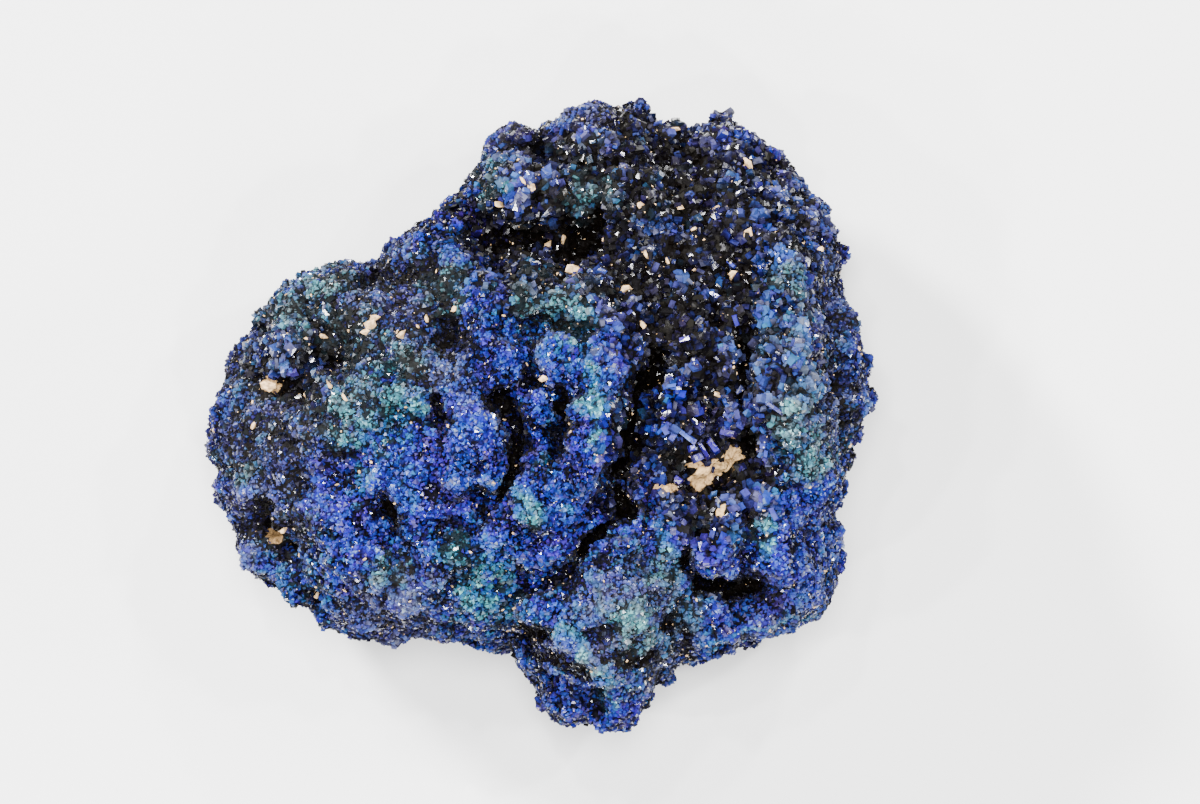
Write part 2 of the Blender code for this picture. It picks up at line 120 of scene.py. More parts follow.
# Where the crust is in the shade: middle and radius
SHADY_ZONES = (
    ((0.0, -1.0), 4.0), ((1.0, 16.0), 6.0), ((14.0, 22.0), 8.0), ((8.0, 18.0), 8.0), ((16.0, 10.0), 8.0),
    ((9.6, 0.0), 2.6), ((16.0, -3.0), 6.0), ((22.0, 22.0), 6.0), ((-8.0, 20.0), 5.0), ((3.6, -26.0), 4.0),
    ((5.8, 12.2), 3.0), ((-18.4, 10.4), 3.0), ((-24.8, -1.2), 3.0), ((-24.4, -12.6), 3.2), ((5.0, -13.2), 2.6),
    ((17.2, -1.0), 2.5), ((17.0, -19.0), 3.0), ((-8.0, -13.4), 2.4), ((0.8, -23.4), 2.2), ((10.8, -24.4), 1.6),
    ((7.6, -23.0), 1.4), ((3.0, -18.2), 1.8), ((-13.6, -11.0), 2.6), ((22.2, 4.0), 2.2), ((-3.0, 0.6), 2.0),
)

# Where the gaps between the crystals are stained brown-black: middle and radius
STAINED_ZONES = (
    ((1.4, 15.8), 5.5), ((13.0, 24.0), 7.0), ((7.0, 19.0), 6.0), ((14.0, 12.0), 7.0), ((9.6, 0.0), 2.6),
    ((17.0, -5.0), 4.5), ((20.0, 6.0), 4.0), ((22.0, 22.0), 5.0), ((-25.0, 4.0), 3.5), ((-24.4, -12.2), 3.4),
    ((-14.6, -9.4), 1.6), ((-20.0, 9.0), 4.0),
)

# Narrow hollows painted near-black whatever lies round them, painted shade of the deep hollows together with their
# stain: the line of the hollow and its half width
BLACK_HOLLOWS = (
    (((-1.4, -20.8), (0.6, -21.6)), 1.1), (((0.2, -23.8), (2.8, -24.3), (4.8, -25.6)), 0.9),
    (((9.2, -24.6), (11.4, -23.6)), 0.7), (((14.6, -20.6), (15.0, -23.2)), 0.7), (((-16.0, -9.6),), 0.8),
)

# Where many crystals are grey or olive: middle and radius
DULL_ZONES = (
    ((-25.0, 4.0), 8.0), ((-21.0, 10.0), 7.0), ((4.0, 26.0), 9.0), ((14.0, 24.0), 8.0), ((1.5, 16.0), 6.0),
    ((25.0, 4.0), 6.0), ((28.0, 12.0), 5.0), ((29.0, 0.0), 4.0), ((28.0, 21.0), 4.0), ((10.0, -20.0), 6.0),
    ((15.0, 12.0), 8.0), ((-27.0, -10.0), 5.0), ((17.0, -6.0), 6.0), ((-10.0, 6.0), 4.0), ((-13.0, 12.0), 5.0),
    ((-14.0, -20.0), 5.0), ((-27.0, -3.0), 5.0),
)

# Grains of pale matrix held between the crystals: middle and radius
MATRIX_GRAINS = (
    ((-21.3, 8.1), 0.45), ((-13.5, 8.2), 0.45), ((-26.8, 3.2), 0.7), ((-20.6, 3.2), 0.4), ((-19.1, 2.0), 0.4),
    ((-28.3, -0.9), 0.45), ((-3.8, 21.2), 0.4), ((-1.5, 23.6), 0.35), ((-0.6, 22.9), 0.35), ((1.0, 17.2), 0.45),
    ((2.5, 17.8), 0.45), ((3.4, 14.8), 0.6), ((10.2, 21.1), 0.35), ((14.2, 20.9), 0.4), ((17.7, 20.8), 0.4),
    ((21.0, 25.2), 0.6), ((20.7, 18.2), 0.65), ((19.2, 14.1), 0.75), ((10.7, 16.2), 0.35), ((12.9, 15.6), 0.4),
    ((8.7, 12.8), 0.7), ((10.5, 9.2), 0.45), ((13.7, 28.8), 0.45), ((18.0, 2.2), 0.55), ((28.2, 16.8), 0.4),
    ((0.5, 3.8), 0.45), ((-8.3, 10.8), 0.35), ((-11.0, 9.8), 0.35), ((-25.3, -11.2), 0.45),
    ((-22.0, -17.8), 0.35), ((-16.6, 9.2), 0.6), ((-16.2, 9.9), 0.5), ((-17.1, 8.5), 0.4),
)

# Windows in the crust, where the matrix itself shows: the line of the window, its half width and its paleness
MATRIX_WINDOWS = (
    (((15.9, -6.4), (17.6, -5.1), (19.8, -3.6)), 0.85, 1.0), (((12.0, -6.8), (13.6, -7.0)), 0.45, 0.8),
    (((15.0, -4.7), (16.2, -4.7)), 0.4, 0.8), (((18.2, -9.2),), 0.6, 0.9),
    (((-26.6, -11.6), (-26.0, -12.2)), 0.6, 0.3), (((-27.0, 3.4), (-26.2, 3.0)), 0.6, 0.4),
)

# Crevices that run in deeper than the solid shows: the line of the floor, half width and depth
CREVICES = (
    (((10.0, 4.8), (9.8, 2.2), (9.2, -0.6), (8.5, -3.6), (8.0, -5.0)), 0.8, 1.8),
    (((6.2, -11.4), (4.2, -13.4), (2.2, -15.8), (-2.0, -17.9)), 0.5, 1.0),
    (((-1.8, 9.8), (0.7, 9.9), (2.4, 8.8)), 0.4, 1.0), (((-0.4, 7.6), (-0.6, 5.6), (0.8, 4.2)), 0.4, 0.9),
    (((-3.4, 2.6), (-3.0, 0.4), (-3.4, -2.4), (-4.4, -5.8)), 0.5, 0.3),
    (((2.6, 4.6), (2.4, 1.0), (2.9, -2.6)), 0.4, 0.6),
    (((-15.4, -7.6), (-14.6, -9.4), (-14.2, -11.2)), 0.8, 2.2),
    (((-26.2, -10.8), (-24.4, -12.0), (-22.6, -13.6)), 1.3, 1.5), (((-22.3, -18.0),), 0.7, 1.0),
    (((-10.2, 1.8), (-9.9, 0.4)), 0.6, 1.6), (((-10.2, 1.2),), 0.5, 1.4), (((0.7, 3.0),), 0.5, 1.4),
    (((16.8, -16.6), (19.2, -17.2), (21.8, -16.9)), 0.9, 2.2), (((15.2, -11.4), (15.0, -14.6)), 0.6, 1.4),
    (((21.2, 6.8), (20.8, 4.4), (20.4, 2.0)), 0.9, 1.6), (((21.6, -1.8), (20.8, -2.6)), 0.8, 1.4),
    (((27.4, 7.2), (28.3, 3.4), (29.2, -1.6)), 0.7, 1.2),
    (((-0.6, -23.0), (2.2, -23.8), (4.4, -25.4)), 0.8, 1.8), (((-0.8, -21.6), (0.6, -21.4)), 0.9, 1.6),
    (((12.8, -20.2), (13.4, -22.8)), 0.6, 1.2), (((-3.6, 16.0), (0.6, 16.6), (4.4, 15.4)), 1.4, 1.6),
    (((-16.3, 14.3), (-14.8, 14.0)), 0.7, 1.4),
)

# Where the crust is worn lighter and greyer: middle and radius
WORN_ZONES = (
    ((25.0, 8.0), 5.0), ((26.0, -3.0), 4.0), ((9.0, -20.0), 5.0), ((24.0, -19.0), 4.0), ((-14.0, -19.6), 3.0),
    ((29.0, -12.0), 3.0), ((-24.0, 10.0), 4.0), ((5.0, -24.0), 4.0), ((27.0, 24.0), 3.0),
)

# Pale blue-green edges along the crust: the line of the edge, its half width and how clear it is
PALE_EDGES = (
    (((16.4, -22.6), (20.0, -21.6), (23.4, -20.4), (28.4, -18.4)), 0.4, 0.9),
    (((1.8, -20.8), (4.4, -22.8), (6.2, -25.6), (7.6, -28.4)), 0.7, 1.0),
    (((5.8, -17.6), (6.6, -19.6), (9.6, -21.6), (12.4, -22.4)), 0.7, 0.9),
    (((12.0, -10.6), (13.3, -15.2), (14.4, -19.4), (13.6, -22.0)), 0.8, 0.7),
    (((3.4, 8.2), (5.4, 4.8), (6.2, 1.0), (5.8, -3.0)), 0.6, 0.7),
    (((-2.8, 10.6), (-0.1, 11.7), (2.6, 10.8), (4.2, 8.8)), 0.6, 0.7),
    (((24.6, 15.8), (25.4, 10.0), (26.4, 4.0), (25.8, -1.6), (28.6, -5.4)), 0.7, 0.6),
    (((-19.8, 2.6), (-17.4, 0.4), (-15.0, 1.2), (-12.6, 3.6)), 0.8, 1.0),
    (((-28.8, 13.6), (-25.4, 14.6), (-22.0, 13.8)), 0.6, 0.7),
    (((-8.6, -15.6), (-5.6, -18.4), (-1.6, -19.4)), 0.6, 0.8),
    (((-27.6, -15.0), (-24.0, -18.8), (-19.4, -21.0)), 0.5, 0.5),
    (((-13.4, -5.6), (-12.0, -8.0), (-11.6, -10.4)), 0.5, 0.6),
    (((-3.2, -6.8), (-0.4, -8.4), (2.4, -9.6)), 0.7, 0.9),
    (((-4.8, 24.4), (-0.6, 26.0), (3.4, 25.6)), 0.5, 0.5),
)

# Folds and knobs that stand out more than the solid shows: the line of the crest, half width and height
FOLDS = (
    (((3.2, 9.0), (6.0, 4.6), (7.3, 0.2), (6.4, -4.2)), 2.2, 0.5),
    (((-2.6, 11.0), (-0.1, 11.9), (2.4, 11.2), (3.8, 9.4)), 1.3, 0.5), (((1.5, 6.4),), 1.5, 0.7),
    (((-5.4, 8.4), (-2.4, 5.8)), 1.3, 0.7), (((-0.6, 1.8), (0.4, -3.0)), 2.2, 0.7),
    (((-3.8, -7.4), (1.8, -10.0)), 2.2, 0.5), (((8.6, -7.6), (8.9, -12.0)), 1.6, 3.0),
    (((11.4, 8.0), (10.8, 6.2)), 1.5, 1.2), (((12.8, 6.6), (12.4, 3.4)), 1.2, 1.6),
    (((-29.2, -8.6),), 2.0, 1.0), (((1.8, -20.8), (4.4, -22.8), (6.2, -25.6), (7.6, -28.4)), 0.9, 0.5),
    (((16.4, -22.2), (20.0, -21.2), (23.4, -20.0), (28.4, -18.0)), 0.7, 0.5),
    (((6.4, -18.6), (9.6, -20.8), (12.2, -21.6)), 1.2, 0.4),
    (((25.4, 12.0), (26.2, 4.6), (26.0, -1.0)), 1.2, 0.5), (((-2.0, 8.6), (0.8, 8.8), (3.4, 7.4)), 1.1, 1.3),
    (((-3.6, 3.0), (-3.2, -2.0), (-4.6, -6.4)), 1.1, 1.0), (((12.2, 4.0), (12.8, 0.4), (11.6, -4.6)), 1.3, 0.5),
)

# Long blades on the show face: middle, heading in degrees, length, width, brightness and greyness
BLADES = (
    ((14.55, -1.65), -38, 2.7, 0.6, 0.72, 0.1), ((17.3, -2.7), -52, 2.2, 0.8, 0.3, 0.0),
    ((16.4, -3.1), -57, 2.4, 0.5, 0.26, 0.0), ((23.4, 1.0), -33, 2.2, 0.5, 0.36, 0.6),
    ((23.4, -9.5), -63, 1.8, 0.65, 0.5, 0.4), ((13.4, -1.9), 60, 1.1, 0.8, 0.4, 0.5),
    ((15.35, -3.0), 20, 0.8, 0.7, 0.55, 0.1), ((15.9, -3.9), 30, 1.2, 1.0, 0.36, 0.6),
    ((13.9, -6.2), -30, 1.1, 0.9, 0.34, 0.1), ((18.8, -1.5), -10, 2.0, 0.8, 0.24, 0.3),
    ((20.0, 2.8), 35, 1.2, 0.9, 0.36, 0.8), ((19.2, 15.3), -40, 1.2, 0.4, 0.6, 0.1),
    ((11.7, 10.8), 50, 1.3, 0.5, 0.5, 0.2), ((19.7, 9.6), -70, 1.3, 0.55, 0.5, 0.2),
    ((17.6, 12.2), -30, 1.6, 0.5, 0.36, 0.1), ((14.6, 7.8), 15, 1.5, 0.6, 0.34, 0.3),
)

# Where the crystals are coarse and dark, and where they are fine and bright: middle and radius
COARSE_ZONES = (
    ((-23.5, 7.0), 5.0), ((14.0, 18.0), 13.0), ((19.0, 4.0), 9.0), ((2.0, 20.0), 9.0), ((18.0, -8.0), 6.0),
    ((10.0, -2.0), 4.0),
)
BRIGHT_ZONES = (
    ((-13.0, -7.0), 10.0), ((-4.0, -11.0), 8.0), ((2.0, 6.0), 7.0), ((12.0, -17.0), 6.0), ((20.0, -20.0), 6.0),
    ((-20.0, -14.0), 6.0), ((25.0, -8.0), 5.0), ((28.0, 22.0), 4.0), ((24.0, -2.0), 6.0), ((25.0, 7.0), 6.0),
    ((9.0, -19.0), 8.0), ((5.0, -25.0), 5.0), ((-12.8, -19.2), 5.0), ((-19.0, -19.0), 4.0), ((-6.8, -1.2), 3.5),
    ((4.6, -7.2), 3.0), ((29.0, -13.0), 4.0), ((-6.8, -19.2), 3.5),
)

# A three-sided chip with a flat top, for the fine crust
CHIP_CORNERS = ((-0.5, -0.42, 0), (0.5, -0.42, 0), (0, 0.58, 0), (-0.38, -0.32, 1), (0.38, -0.32, 1), (0, 0.42, 1))
CHIP_FACES = ((0, 2, 1), (3, 4, 5), (0, 1, 4), (0, 4, 3), (1, 2, 5), (1, 5, 4), (2, 0, 3), (2, 3, 5))

# A four-sided block with a tilted flat top, for the coarse crust
BLOCK_CORNERS = (
    (-0.5, -0.48, 0), (0.48, -0.5, 0), (0.5, 0.46, 0), (-0.46, 0.5, 0),
    (-0.37, -0.32, 1), (0.35, -0.38, 0.94), (0.36, 0.3, 0.84), (-0.33, 0.37, 0.92),
)
BLOCK_FACES = (
    (0, 3, 2), (0, 2, 1), (0, 1, 5), (0, 5, 4), (1, 2, 6), (1, 6, 5), (2, 3, 7), (2, 7, 6), (3, 0, 4), (3, 4, 7),
    (4, 5, 6), (4, 6, 7),
)


def pebble_shape():
    """The corners and faces of a rounded grain, half of it below the ground."""
    ball = bmesh.new()
    bmesh.ops.create_icosphere(ball, subdivisions=1, radius=0.5)
    ball.verts.ensure_lookup_table()
    corners = [(vertex.co.x, vertex.co.y, vertex.co.z + 0.5) for vertex in ball.verts]
    faces = [tuple(vertex.index for vertex in face.verts) for face in ball.faces]
    ball.free()
    return corners, faces


def length(name, description, default):
    return FloatProperty(name=name, description=description, default=default, unit="LENGTH")


def power(name, description, default):
    return FloatProperty(name=name, description=description, default=default, unit="POWER")


def colour(name, description, *default):
    return FloatVectorProperty(name=name, description=description, default=default, subtype="COLOR")


class AzuriteShape(bpy.types.PropertyGroup):
    """Sizes of the ground and of what grows on it"""

    ground_mesh: length("Ground mesh", "Size of the mesh of the ground", 0.42 * MM)
    ground_depth: length("Ground depth", "How far the ground lies inside the solid", 0.12 * MM)
    fine_width: length("Fine crystals", "Usual width of the finest crystals", 0.46 * MM)
    coarse_width: length("Coarse crystals", "Usual width of the coarsest crystals", 0.76 * MM)
    crowding: FloatProperty(
        name="Crowding", description="How closely the crystals stand", default=0.95, subtype="FACTOR")
    seed: IntProperty(name="Seed", description="Another number grows another set of crystals", default=11)


class AzuriteColours(bpy.types.PropertyGroup):
    """Colours of the crystals, the ground and the matrix"""

    night: colour("Darkest blue", "Crystals turned from the light", 0.001, 0.0008, 0.0025)
    deep: colour("Deep blue", "Most of the crystals", 0.0048, 0.0037, 0.046)
    royal: colour("Royal blue", "Bright crystals", 0.0085, 0.0098, 0.225)
    steel: colour("Steel blue", "Worn crystals", 0.037, 0.06, 0.29)
    lavender: colour("Lavender", "The few palest crystals", 0.21, 0.27, 0.37)
    foam: colour("Pale green", "Palest altered crests", 0.14, 0.37, 0.4)
    sea: colour("Sea blue", "Between the blue and the altered crests", 0.014, 0.08, 0.23)
    teal: colour("Blue-green", "Altered crests", 0.028, 0.125, 0.165)
    moss: colour("Grey-green", "Altered hollows", 0.004, 0.0085, 0.012)
    # Olive also greys the steep and lower sides, as painted shade
    olive: colour("Olive", "Stained crystals", 0.011, 0.0098, 0.0078)
    pewter: colour("Pewter", "Grey crystals", 0.1, 0.112, 0.118)
    # The recess colour is partly the brown-black stain of the hollows and partly painted shade where little light
    # reaches
    recess_stain_and_shade: colour("Recess", "Stained ground in the hollows", 0.0022, 0.0014, 0.001)
    # The spark colour is a painted glint: tiny pale points that stand in for light glinting on the crystals
    painted_glint: colour("Spark", "Tiny pale points on the crystals", 0.7, 0.64, 0.56)
    matrix: colour("Matrix", "Pale rock", 0.68, 0.43, 0.2)
    ochre: colour("Ochre", "Stained rock", 0.11, 0.06, 0.022)
    floor: colour("Floor", "Plain pale floor", 0.93, 0.93, 0.93)


class StudioSetting(bpy.types.PropertyGroup):
    """Camera distance and light of the studio"""

    camera_height: length("Camera height", "Height of the camera above the floor", 2.0)
    view_width: length("View width", "Width of the picture at the rim of the piece", 0.12)
    soft_power: power("Soft light", "Strength of the large lamps", 30.0)
    glint_power: power("Glint light", "Strength of the small lamps", 4.2)
    sky: FloatProperty(name="Sky", description="Strength of the even light from all round", default=0.07)


def waves(points, length, seed, count=24):
    """Smooth uneven values about -1 to 1 at each point, whose swells are about length long, in millimetres."""
    draw = np.random.default_rng(seed)
    turns = draw.normal(size=(count, 3))
    turns /= np.linalg.norm(turns, axis=1)[:, None]
    turns *= (2 * math.pi / length) * draw.uniform(0.6, 1.6, count)[:, None]
    shifts = draw.uniform(0, 2 * math.pi, count)
    total = np.zeros(len(points))
    for turn, shift in zip(turns, shifts):
        total += np.sin(points @ turn + shift)
    return total / math.sqrt(count / 2)


def cells(points, size, seed):
    """Rounded cells about size across, and where each point lies in them.

    Gives its distance from its cell's middle and from the crease where two cells meet, both as shares of size, and
    a random share that belongs to the cell.
    """
    wobble = np.stack([waves(points, size * 1.3, seed + shift) for shift in range(3)], axis=1)
    warped = points / size + 0.18 * wobble
    home = np.floor(warped).astype(np.int64)
    nearest = np.full(len(points), 9.0)
    second = np.full(len(points), 9.0)
    own = np.zeros(len(points))
    for shift in np.ndindex(3, 3, 3):
        cell = home + np.array(shift) - 1
        mixed = (cell[:, 0] * 73856093) ^ (cell[:, 1] * 19349663) ^ (cell[:, 2] * 83492791) ^ (seed * 2654435)
        middle = np.empty_like(warped)
        for axis in range(3):
            mixed = (mixed * 1103515245 + 12345) & 0x7FFFFFFF
            middle[:, axis] = cell[:, axis] + 0.15 + 0.7 * ((mixed >> 8) & 0xFFFF) / 0xFFFF
        away = np.linalg.norm(warped - middle, axis=1)
        second = np.minimum(second, np.maximum(nearest, away))
        own = np.where(away < nearest, ((mixed >> 4) & 0xFFF) / 0xFFF, own)
        nearest = np.minimum(nearest, away)
    return nearest, second - nearest, own


def step(value, low, high):
    """0 below low, 1 above high, and a smooth rise between them."""
    share = np.clip((value - low) / (high - low), 0.0, 1.0)
    return share * share * (3 - 2 * share)


def distance_to_line(plan, line):
    """The distance in plan from each point to a line of one or more points."""
    line = np.array(line, float)
    nearest = np.linalg.norm(plan - line[0], axis=1)
    for start, end in zip(line[:-1], line[1:]):
        along = end - start
        share = np.clip((plan - start) @ along / (along @ along), 0.0, 1.0)
        nearest = np.minimum(nearest, np.linalg.norm(plan - start - share[:, None] * along, axis=1))
    return nearest


def patches(plan, places, edge=0.55):
    """1 inside any of the round places and 0 outside, with an edge that widens with edge."""
    found = np.zeros(len(plan))
    for middle, radius in places:
        found = np.maximum(found, 1 - step(distance_to_line(plan, (middle,)) / radius, 1 - edge, 1 + edge))
    return found


def face_normals(points, triangles):
    """A line square to each triangle, twice as long as the triangle's area."""
    sides = points[triangles]
    return np.cross(sides[:, 1] - sides[:, 0], sides[:, 2] - sides[:, 0])


def point_normals(points, triangles):
    across = face_normals(points, triangles)
    total = np.zeros_like(points)
    for corner in range(3):
        for axis in range(3):
            total[:, axis] += np.bincount(triangles[:, corner], across[:, axis], len(points))
    return total / np.maximum(np.linalg.norm(total, axis=1), 1e-12)[:, None]


def smoothed(values, edges, rounds):
    """The values after that many rounds of averaging with their neighbours along the edges."""
    count = np.maximum(np.bincount(edges[:, 0], minlength=len(values)) + np.bincount(
        edges[:, 1], minlength=len(values)), 1)
    for _ in range(rounds):
        total = np.zeros_like(values)
        for axis in range(values.shape[1]):
            total[:, axis] += np.bincount(edges[:, 0], values[edges[:, 1], axis], len(values))
            total[:, axis] += np.bincount(edges[:, 1], values[edges[:, 0], axis], len(values))
        values = 0.4 * values + 0.6 * total / count[:, None]
    return values


def edges_of(triangles):
    pairs = np.concatenate([triangles[:, [0, 1]], triangles[:, [1, 2]], triangles[:, [2, 0]]])
    return np.unique(np.sort(pairs, axis=1), axis=0)


def mesh_arrays(mesh):
    """The points, in millimetres, and the triangles of a mesh."""
    mesh.calc_loop_triangles()
    points = np.empty(len(mesh.vertices) * 3, np.float32)
    mesh.vertices.foreach_get("co", points)
    triangles = np.empty(len(mesh.loop_triangles) * 3, np.int32)
    mesh.loop_triangles.foreach_get("vertices", triangles)
    return points.reshape(-1, 3).astype(float) / MM, triangles.reshape(-1, 3)


def new_piece(name, points, triangles, values, material, smooth=False):
    """A piece that rides on the specimen, from points in millimetres with named values at each."""
    mesh = bpy.data.meshes.new(name)
    mesh.vertices.add(len(points))
    mesh.vertices.foreach_set("co", (points * MM).astype(np.float32).ravel())
    mesh.loops.add(triangles.size)
    mesh.loops.foreach_set("vertex_index", triangles.astype(np.int32).ravel())
    mesh.polygons.add(len(triangles))
    mesh.polygons.foreach_set("loop_start", np.arange(0, triangles.size, 3, dtype=np.int32))
    mesh.update(calc_edges=True)
    mesh.validate()
    if smooth:
        mesh.shade_smooth()
    else:
        mesh.shade_flat()
    for label, numbers in values.items():
        mesh.attributes.new(label, "FLOAT", "POINT").data.foreach_set("value", numbers.astype(np.float32))
    pack_bake_map(mesh, len(triangles))
    mesh.materials.append(material)
    piece = bpy.data.objects.new(name, mesh)
    bpy.context.scene.collection.objects.link(piece)
    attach(piece, "root")
    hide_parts(NODE)
    return piece


def pack_bake_map(mesh, count):
    """A texture map in which each pair of triangles has a square of its own, with a margin round each triangle."""
    across = math.ceil(math.sqrt(count / 2))
    index = np.arange(count)
    cell = np.stack([index // 2 % across, index // 2 // across], axis=1)
    lower = np.array([[0.06, 0.06], [0.8, 0.06], [0.06, 0.8]])
    upper = 1 - lower
    inside = np.where((index % 2 == 0)[:, None, None], lower, upper)
    places = (cell[:, None, :] + inside) / across
    layer = mesh.uv_layers.new(name="OFBake")
    layer.uv.foreach_set("vector", places.astype(np.float32).ravel())


class Link:
    """A value inside a material's nodes, which sums can be written on."""

    def __init__(self, tree, socket):
        self.tree = tree
        self.socket = socket

    def node(self, kind, settings=None, sockets=None, output=0):
        """Adds a node of that kind and gives back one of its outputs."""
        made = self.tree.nodes.new(kind)
        for name, value in (settings or {}).items():
            if name == "stops":
                ramp = made.color_ramp
                while len(ramp.elements) < len(value):
                    ramp.elements.new(1.0)
                for element, (place, colour) in zip(ramp.elements, value):
                    element.position = place
                    element.color = colour
            else:
                setattr(made, name, value)
        for name, value in (sockets or {}).items():
            socket = next(s for s in made.inputs if name in (s.identifier, s.name) and s.enabled)
            if isinstance(value, Link):
                self.tree.links.new(value.socket, socket)
            else:
                socket.default_value = value
        out = made.outputs[output] if isinstance(output, int) else next(
            s for s in made.outputs if output in (s.identifier, s.name))
        return Link(self.tree, out)

    def sum(self, operation, first, second):
        made = self.tree.nodes.new("ShaderNodeMath")
        made.operation = operation
        for socket, value in zip(made.inputs, (first, second)):
            if isinstance(value, Link):
                self.tree.links.new(value.socket, socket)
            else:
                socket.default_value = value
        return Link(self.tree, made.outputs[0])

    def __add__(self, other):
        return self.sum("ADD", self, other)

    def __radd__(self, other):
        return self.sum("ADD", other, self)

    def __sub__(self, other):
        return self.sum("SUBTRACT", self, other)

    def __rsub__(self, other):
        return self.sum("SUBTRACT", other, self)

    def __mul__(self, other):
        return self.sum("MULTIPLY", self, other)

    def __rmul__(self, other):
        return self.sum("MULTIPLY", other, self)

    def at_most(self, other):
        return self.sum("MINIMUM", self, other)

    def rise(self, low, high):
        """0 below low, 1 above high, and a smooth rise between them."""
        return self.node(
            "ShaderNodeMapRange", {"interpolation_type": "SMOOTHSTEP"},
            {"Value": self, "From Min": low, "From Max": high})

    def blend(self, first, second):
        """The first colour where this value is 0, and the second where it is 1."""
        return self.node(
            "ShaderNodeMix", {"data_type": "RGBA"}, {"Factor_Float": self, "A_Color": first, "B_Color": second},
            "Result_Color")


def opaque(colour):
    return (*colour, 1.0)


def start_finish(name, roughness, ior):
    """A new material, its shader node, and a Link to start its sums from."""
    material = bpy.data.materials.new(name)
    material.use_nodes = True
    shader = material.node_tree.nodes["Principled BSDF"]
    shader.inputs["Roughness"].default_value = roughness
    shader.inputs["IOR"].default_value = ior
    return material, shader, Link(material.node_tree, shader.outputs[0])


def named_value(start, label):
    return start.node("ShaderNodeAttribute", {"attribute_name": label}, output="Fac")


def uneven(start, scale, detail=3.0, seed=0.0):
    place = start.node("ShaderNodeTexCoord", output="Object")
    moved = start.node("ShaderNodeVectorMath", {"operation": "ADD"}, {"Vector": place, "Vector_001": (seed,) * 3})
    return start.node("ShaderNodeTexNoise", {}, {"Vector": moved, "Scale": scale, "Detail": detail})


def crust_colour(start, colours, tone, teal, dull, hollow, drift):
    """The colour of the crust: tone makes it paler, teal blue-green, dull grey and hollow nearly black. Tone
    carries painted highlights and painted shade as well as the crust's own paleness, and hollow carries the
    brown-black stain together with painted shade.
    """
    stops = (
        (0.0, opaque(colours.night)), (0.2, opaque(colours.deep)), (0.5, opaque(colours.royal)),
        (0.8, opaque(colours.steel)), (1.0, opaque(colours.lavender)))
    blue = start.node("ShaderNodeValToRGB", {"stops": stops}, {"Fac": tone}, "Color")
    dim = tone.rise(0.15, 0.6).blend(opaque(colours.moss), opaque(colours.teal))
    green = tone.rise(0.6, 0.95).blend(dim, opaque(colours.foam))
    wash = tone.rise(0.1, 0.55).blend(opaque(colours.moss), opaque(colours.sea))
    crust = (teal.rise(0.12, 0.45) * 0.85).blend(blue, wash)
    crust = teal.rise(0.4, 0.95).blend(crust, green)
    grey = tone.rise(0.1, 0.75).blend(opaque(colours.olive), opaque(colours.pewter))
    crust = (dull.at_most(1.0) * 0.8).blend(crust, grey)
    hue = 0.5 + (uneven(start, 260.0, 1.0, 9.0) - 0.5) * 0.06 + drift
    crust = start.node("ShaderNodeHueSaturation", {}, {"Hue": hue, "Color": crust}, "Color")
    # The hollows take the recess colour: the brown-black stain together with painted shade
    return hollow.rise(0.3, 1.0).blend(crust, opaque(colours.recess_stain_and_shade))


def crystal_finish(colours, name):
    """The finish of the crystals, from the values that each carries."""
    gloss, rough, lift, spread, least_gleam = LOOKS[name]
    material, shader, start = start_finish(name, rough, 1.75)
    shader.inputs["Specular IOR Level"].default_value = gloss
    shade, teal, hollow, bright, tip, gleam, stray = (
        named_value(start, label) for label in ("shade", "teal", "hollow", "bright", "tip", "gleam", "stray"))
    mottle = (uneven(start, 900.0) - 0.5) * 0.4 + (uneven(start, 4200.0, 2.0, 3.0) - 0.5) * 0.3
    # Crystals are painted paler at their tips and darker towards their base, as painted shade among their
    # neighbours
    tone = bright + (shade - 0.5) * spread + mottle + tip * 0.22 + lift
    greyed = named_value(start, "dull") * (0.3 + stray * 0.8) + stray.rise(0.8, 0.86) * 0.6
    crust = crust_colour(
        start, colours, tone, teal + (shade - 0.5) * 0.16, greyed, hollow - (shade - 0.5) * 0.4,
        (stray - 0.5) * 0.04)
    # Tiny pale specks: most are painted glints in the spark colour, the rest are grains of matrix colour
    place = start.node("ShaderNodeTexCoord", output="Object")
    nearest = start.node("ShaderNodeTexVoronoi", {}, {"Vector": place, "Scale": 1150.0}, "Distance")
    glint_and_grain_speck = stray.rise(0.65, 0.75).blend(opaque(colours.painted_glint), opaque(colours.matrix))
    final = ((1.0 - nearest.rise(0.075, 0.105)) * stray.rise(0.3, 0.35)).blend(crust, glint_and_grain_speck)
    start.tree.links.new(final.socket, shader.inputs["Base Color"])
    shader.inputs["Coat Roughness"].default_value = 0.18
    shader.inputs["Coat IOR"].default_value = 1.75
    glint = gleam.rise(least_gleam, least_gleam + 0.3) * uneven(start, 2600.0, 2.0, 6.0).rise(0.42, 0.54)
    start.tree.links.new(glint.socket, shader.inputs["Coat Weight"])
    return material


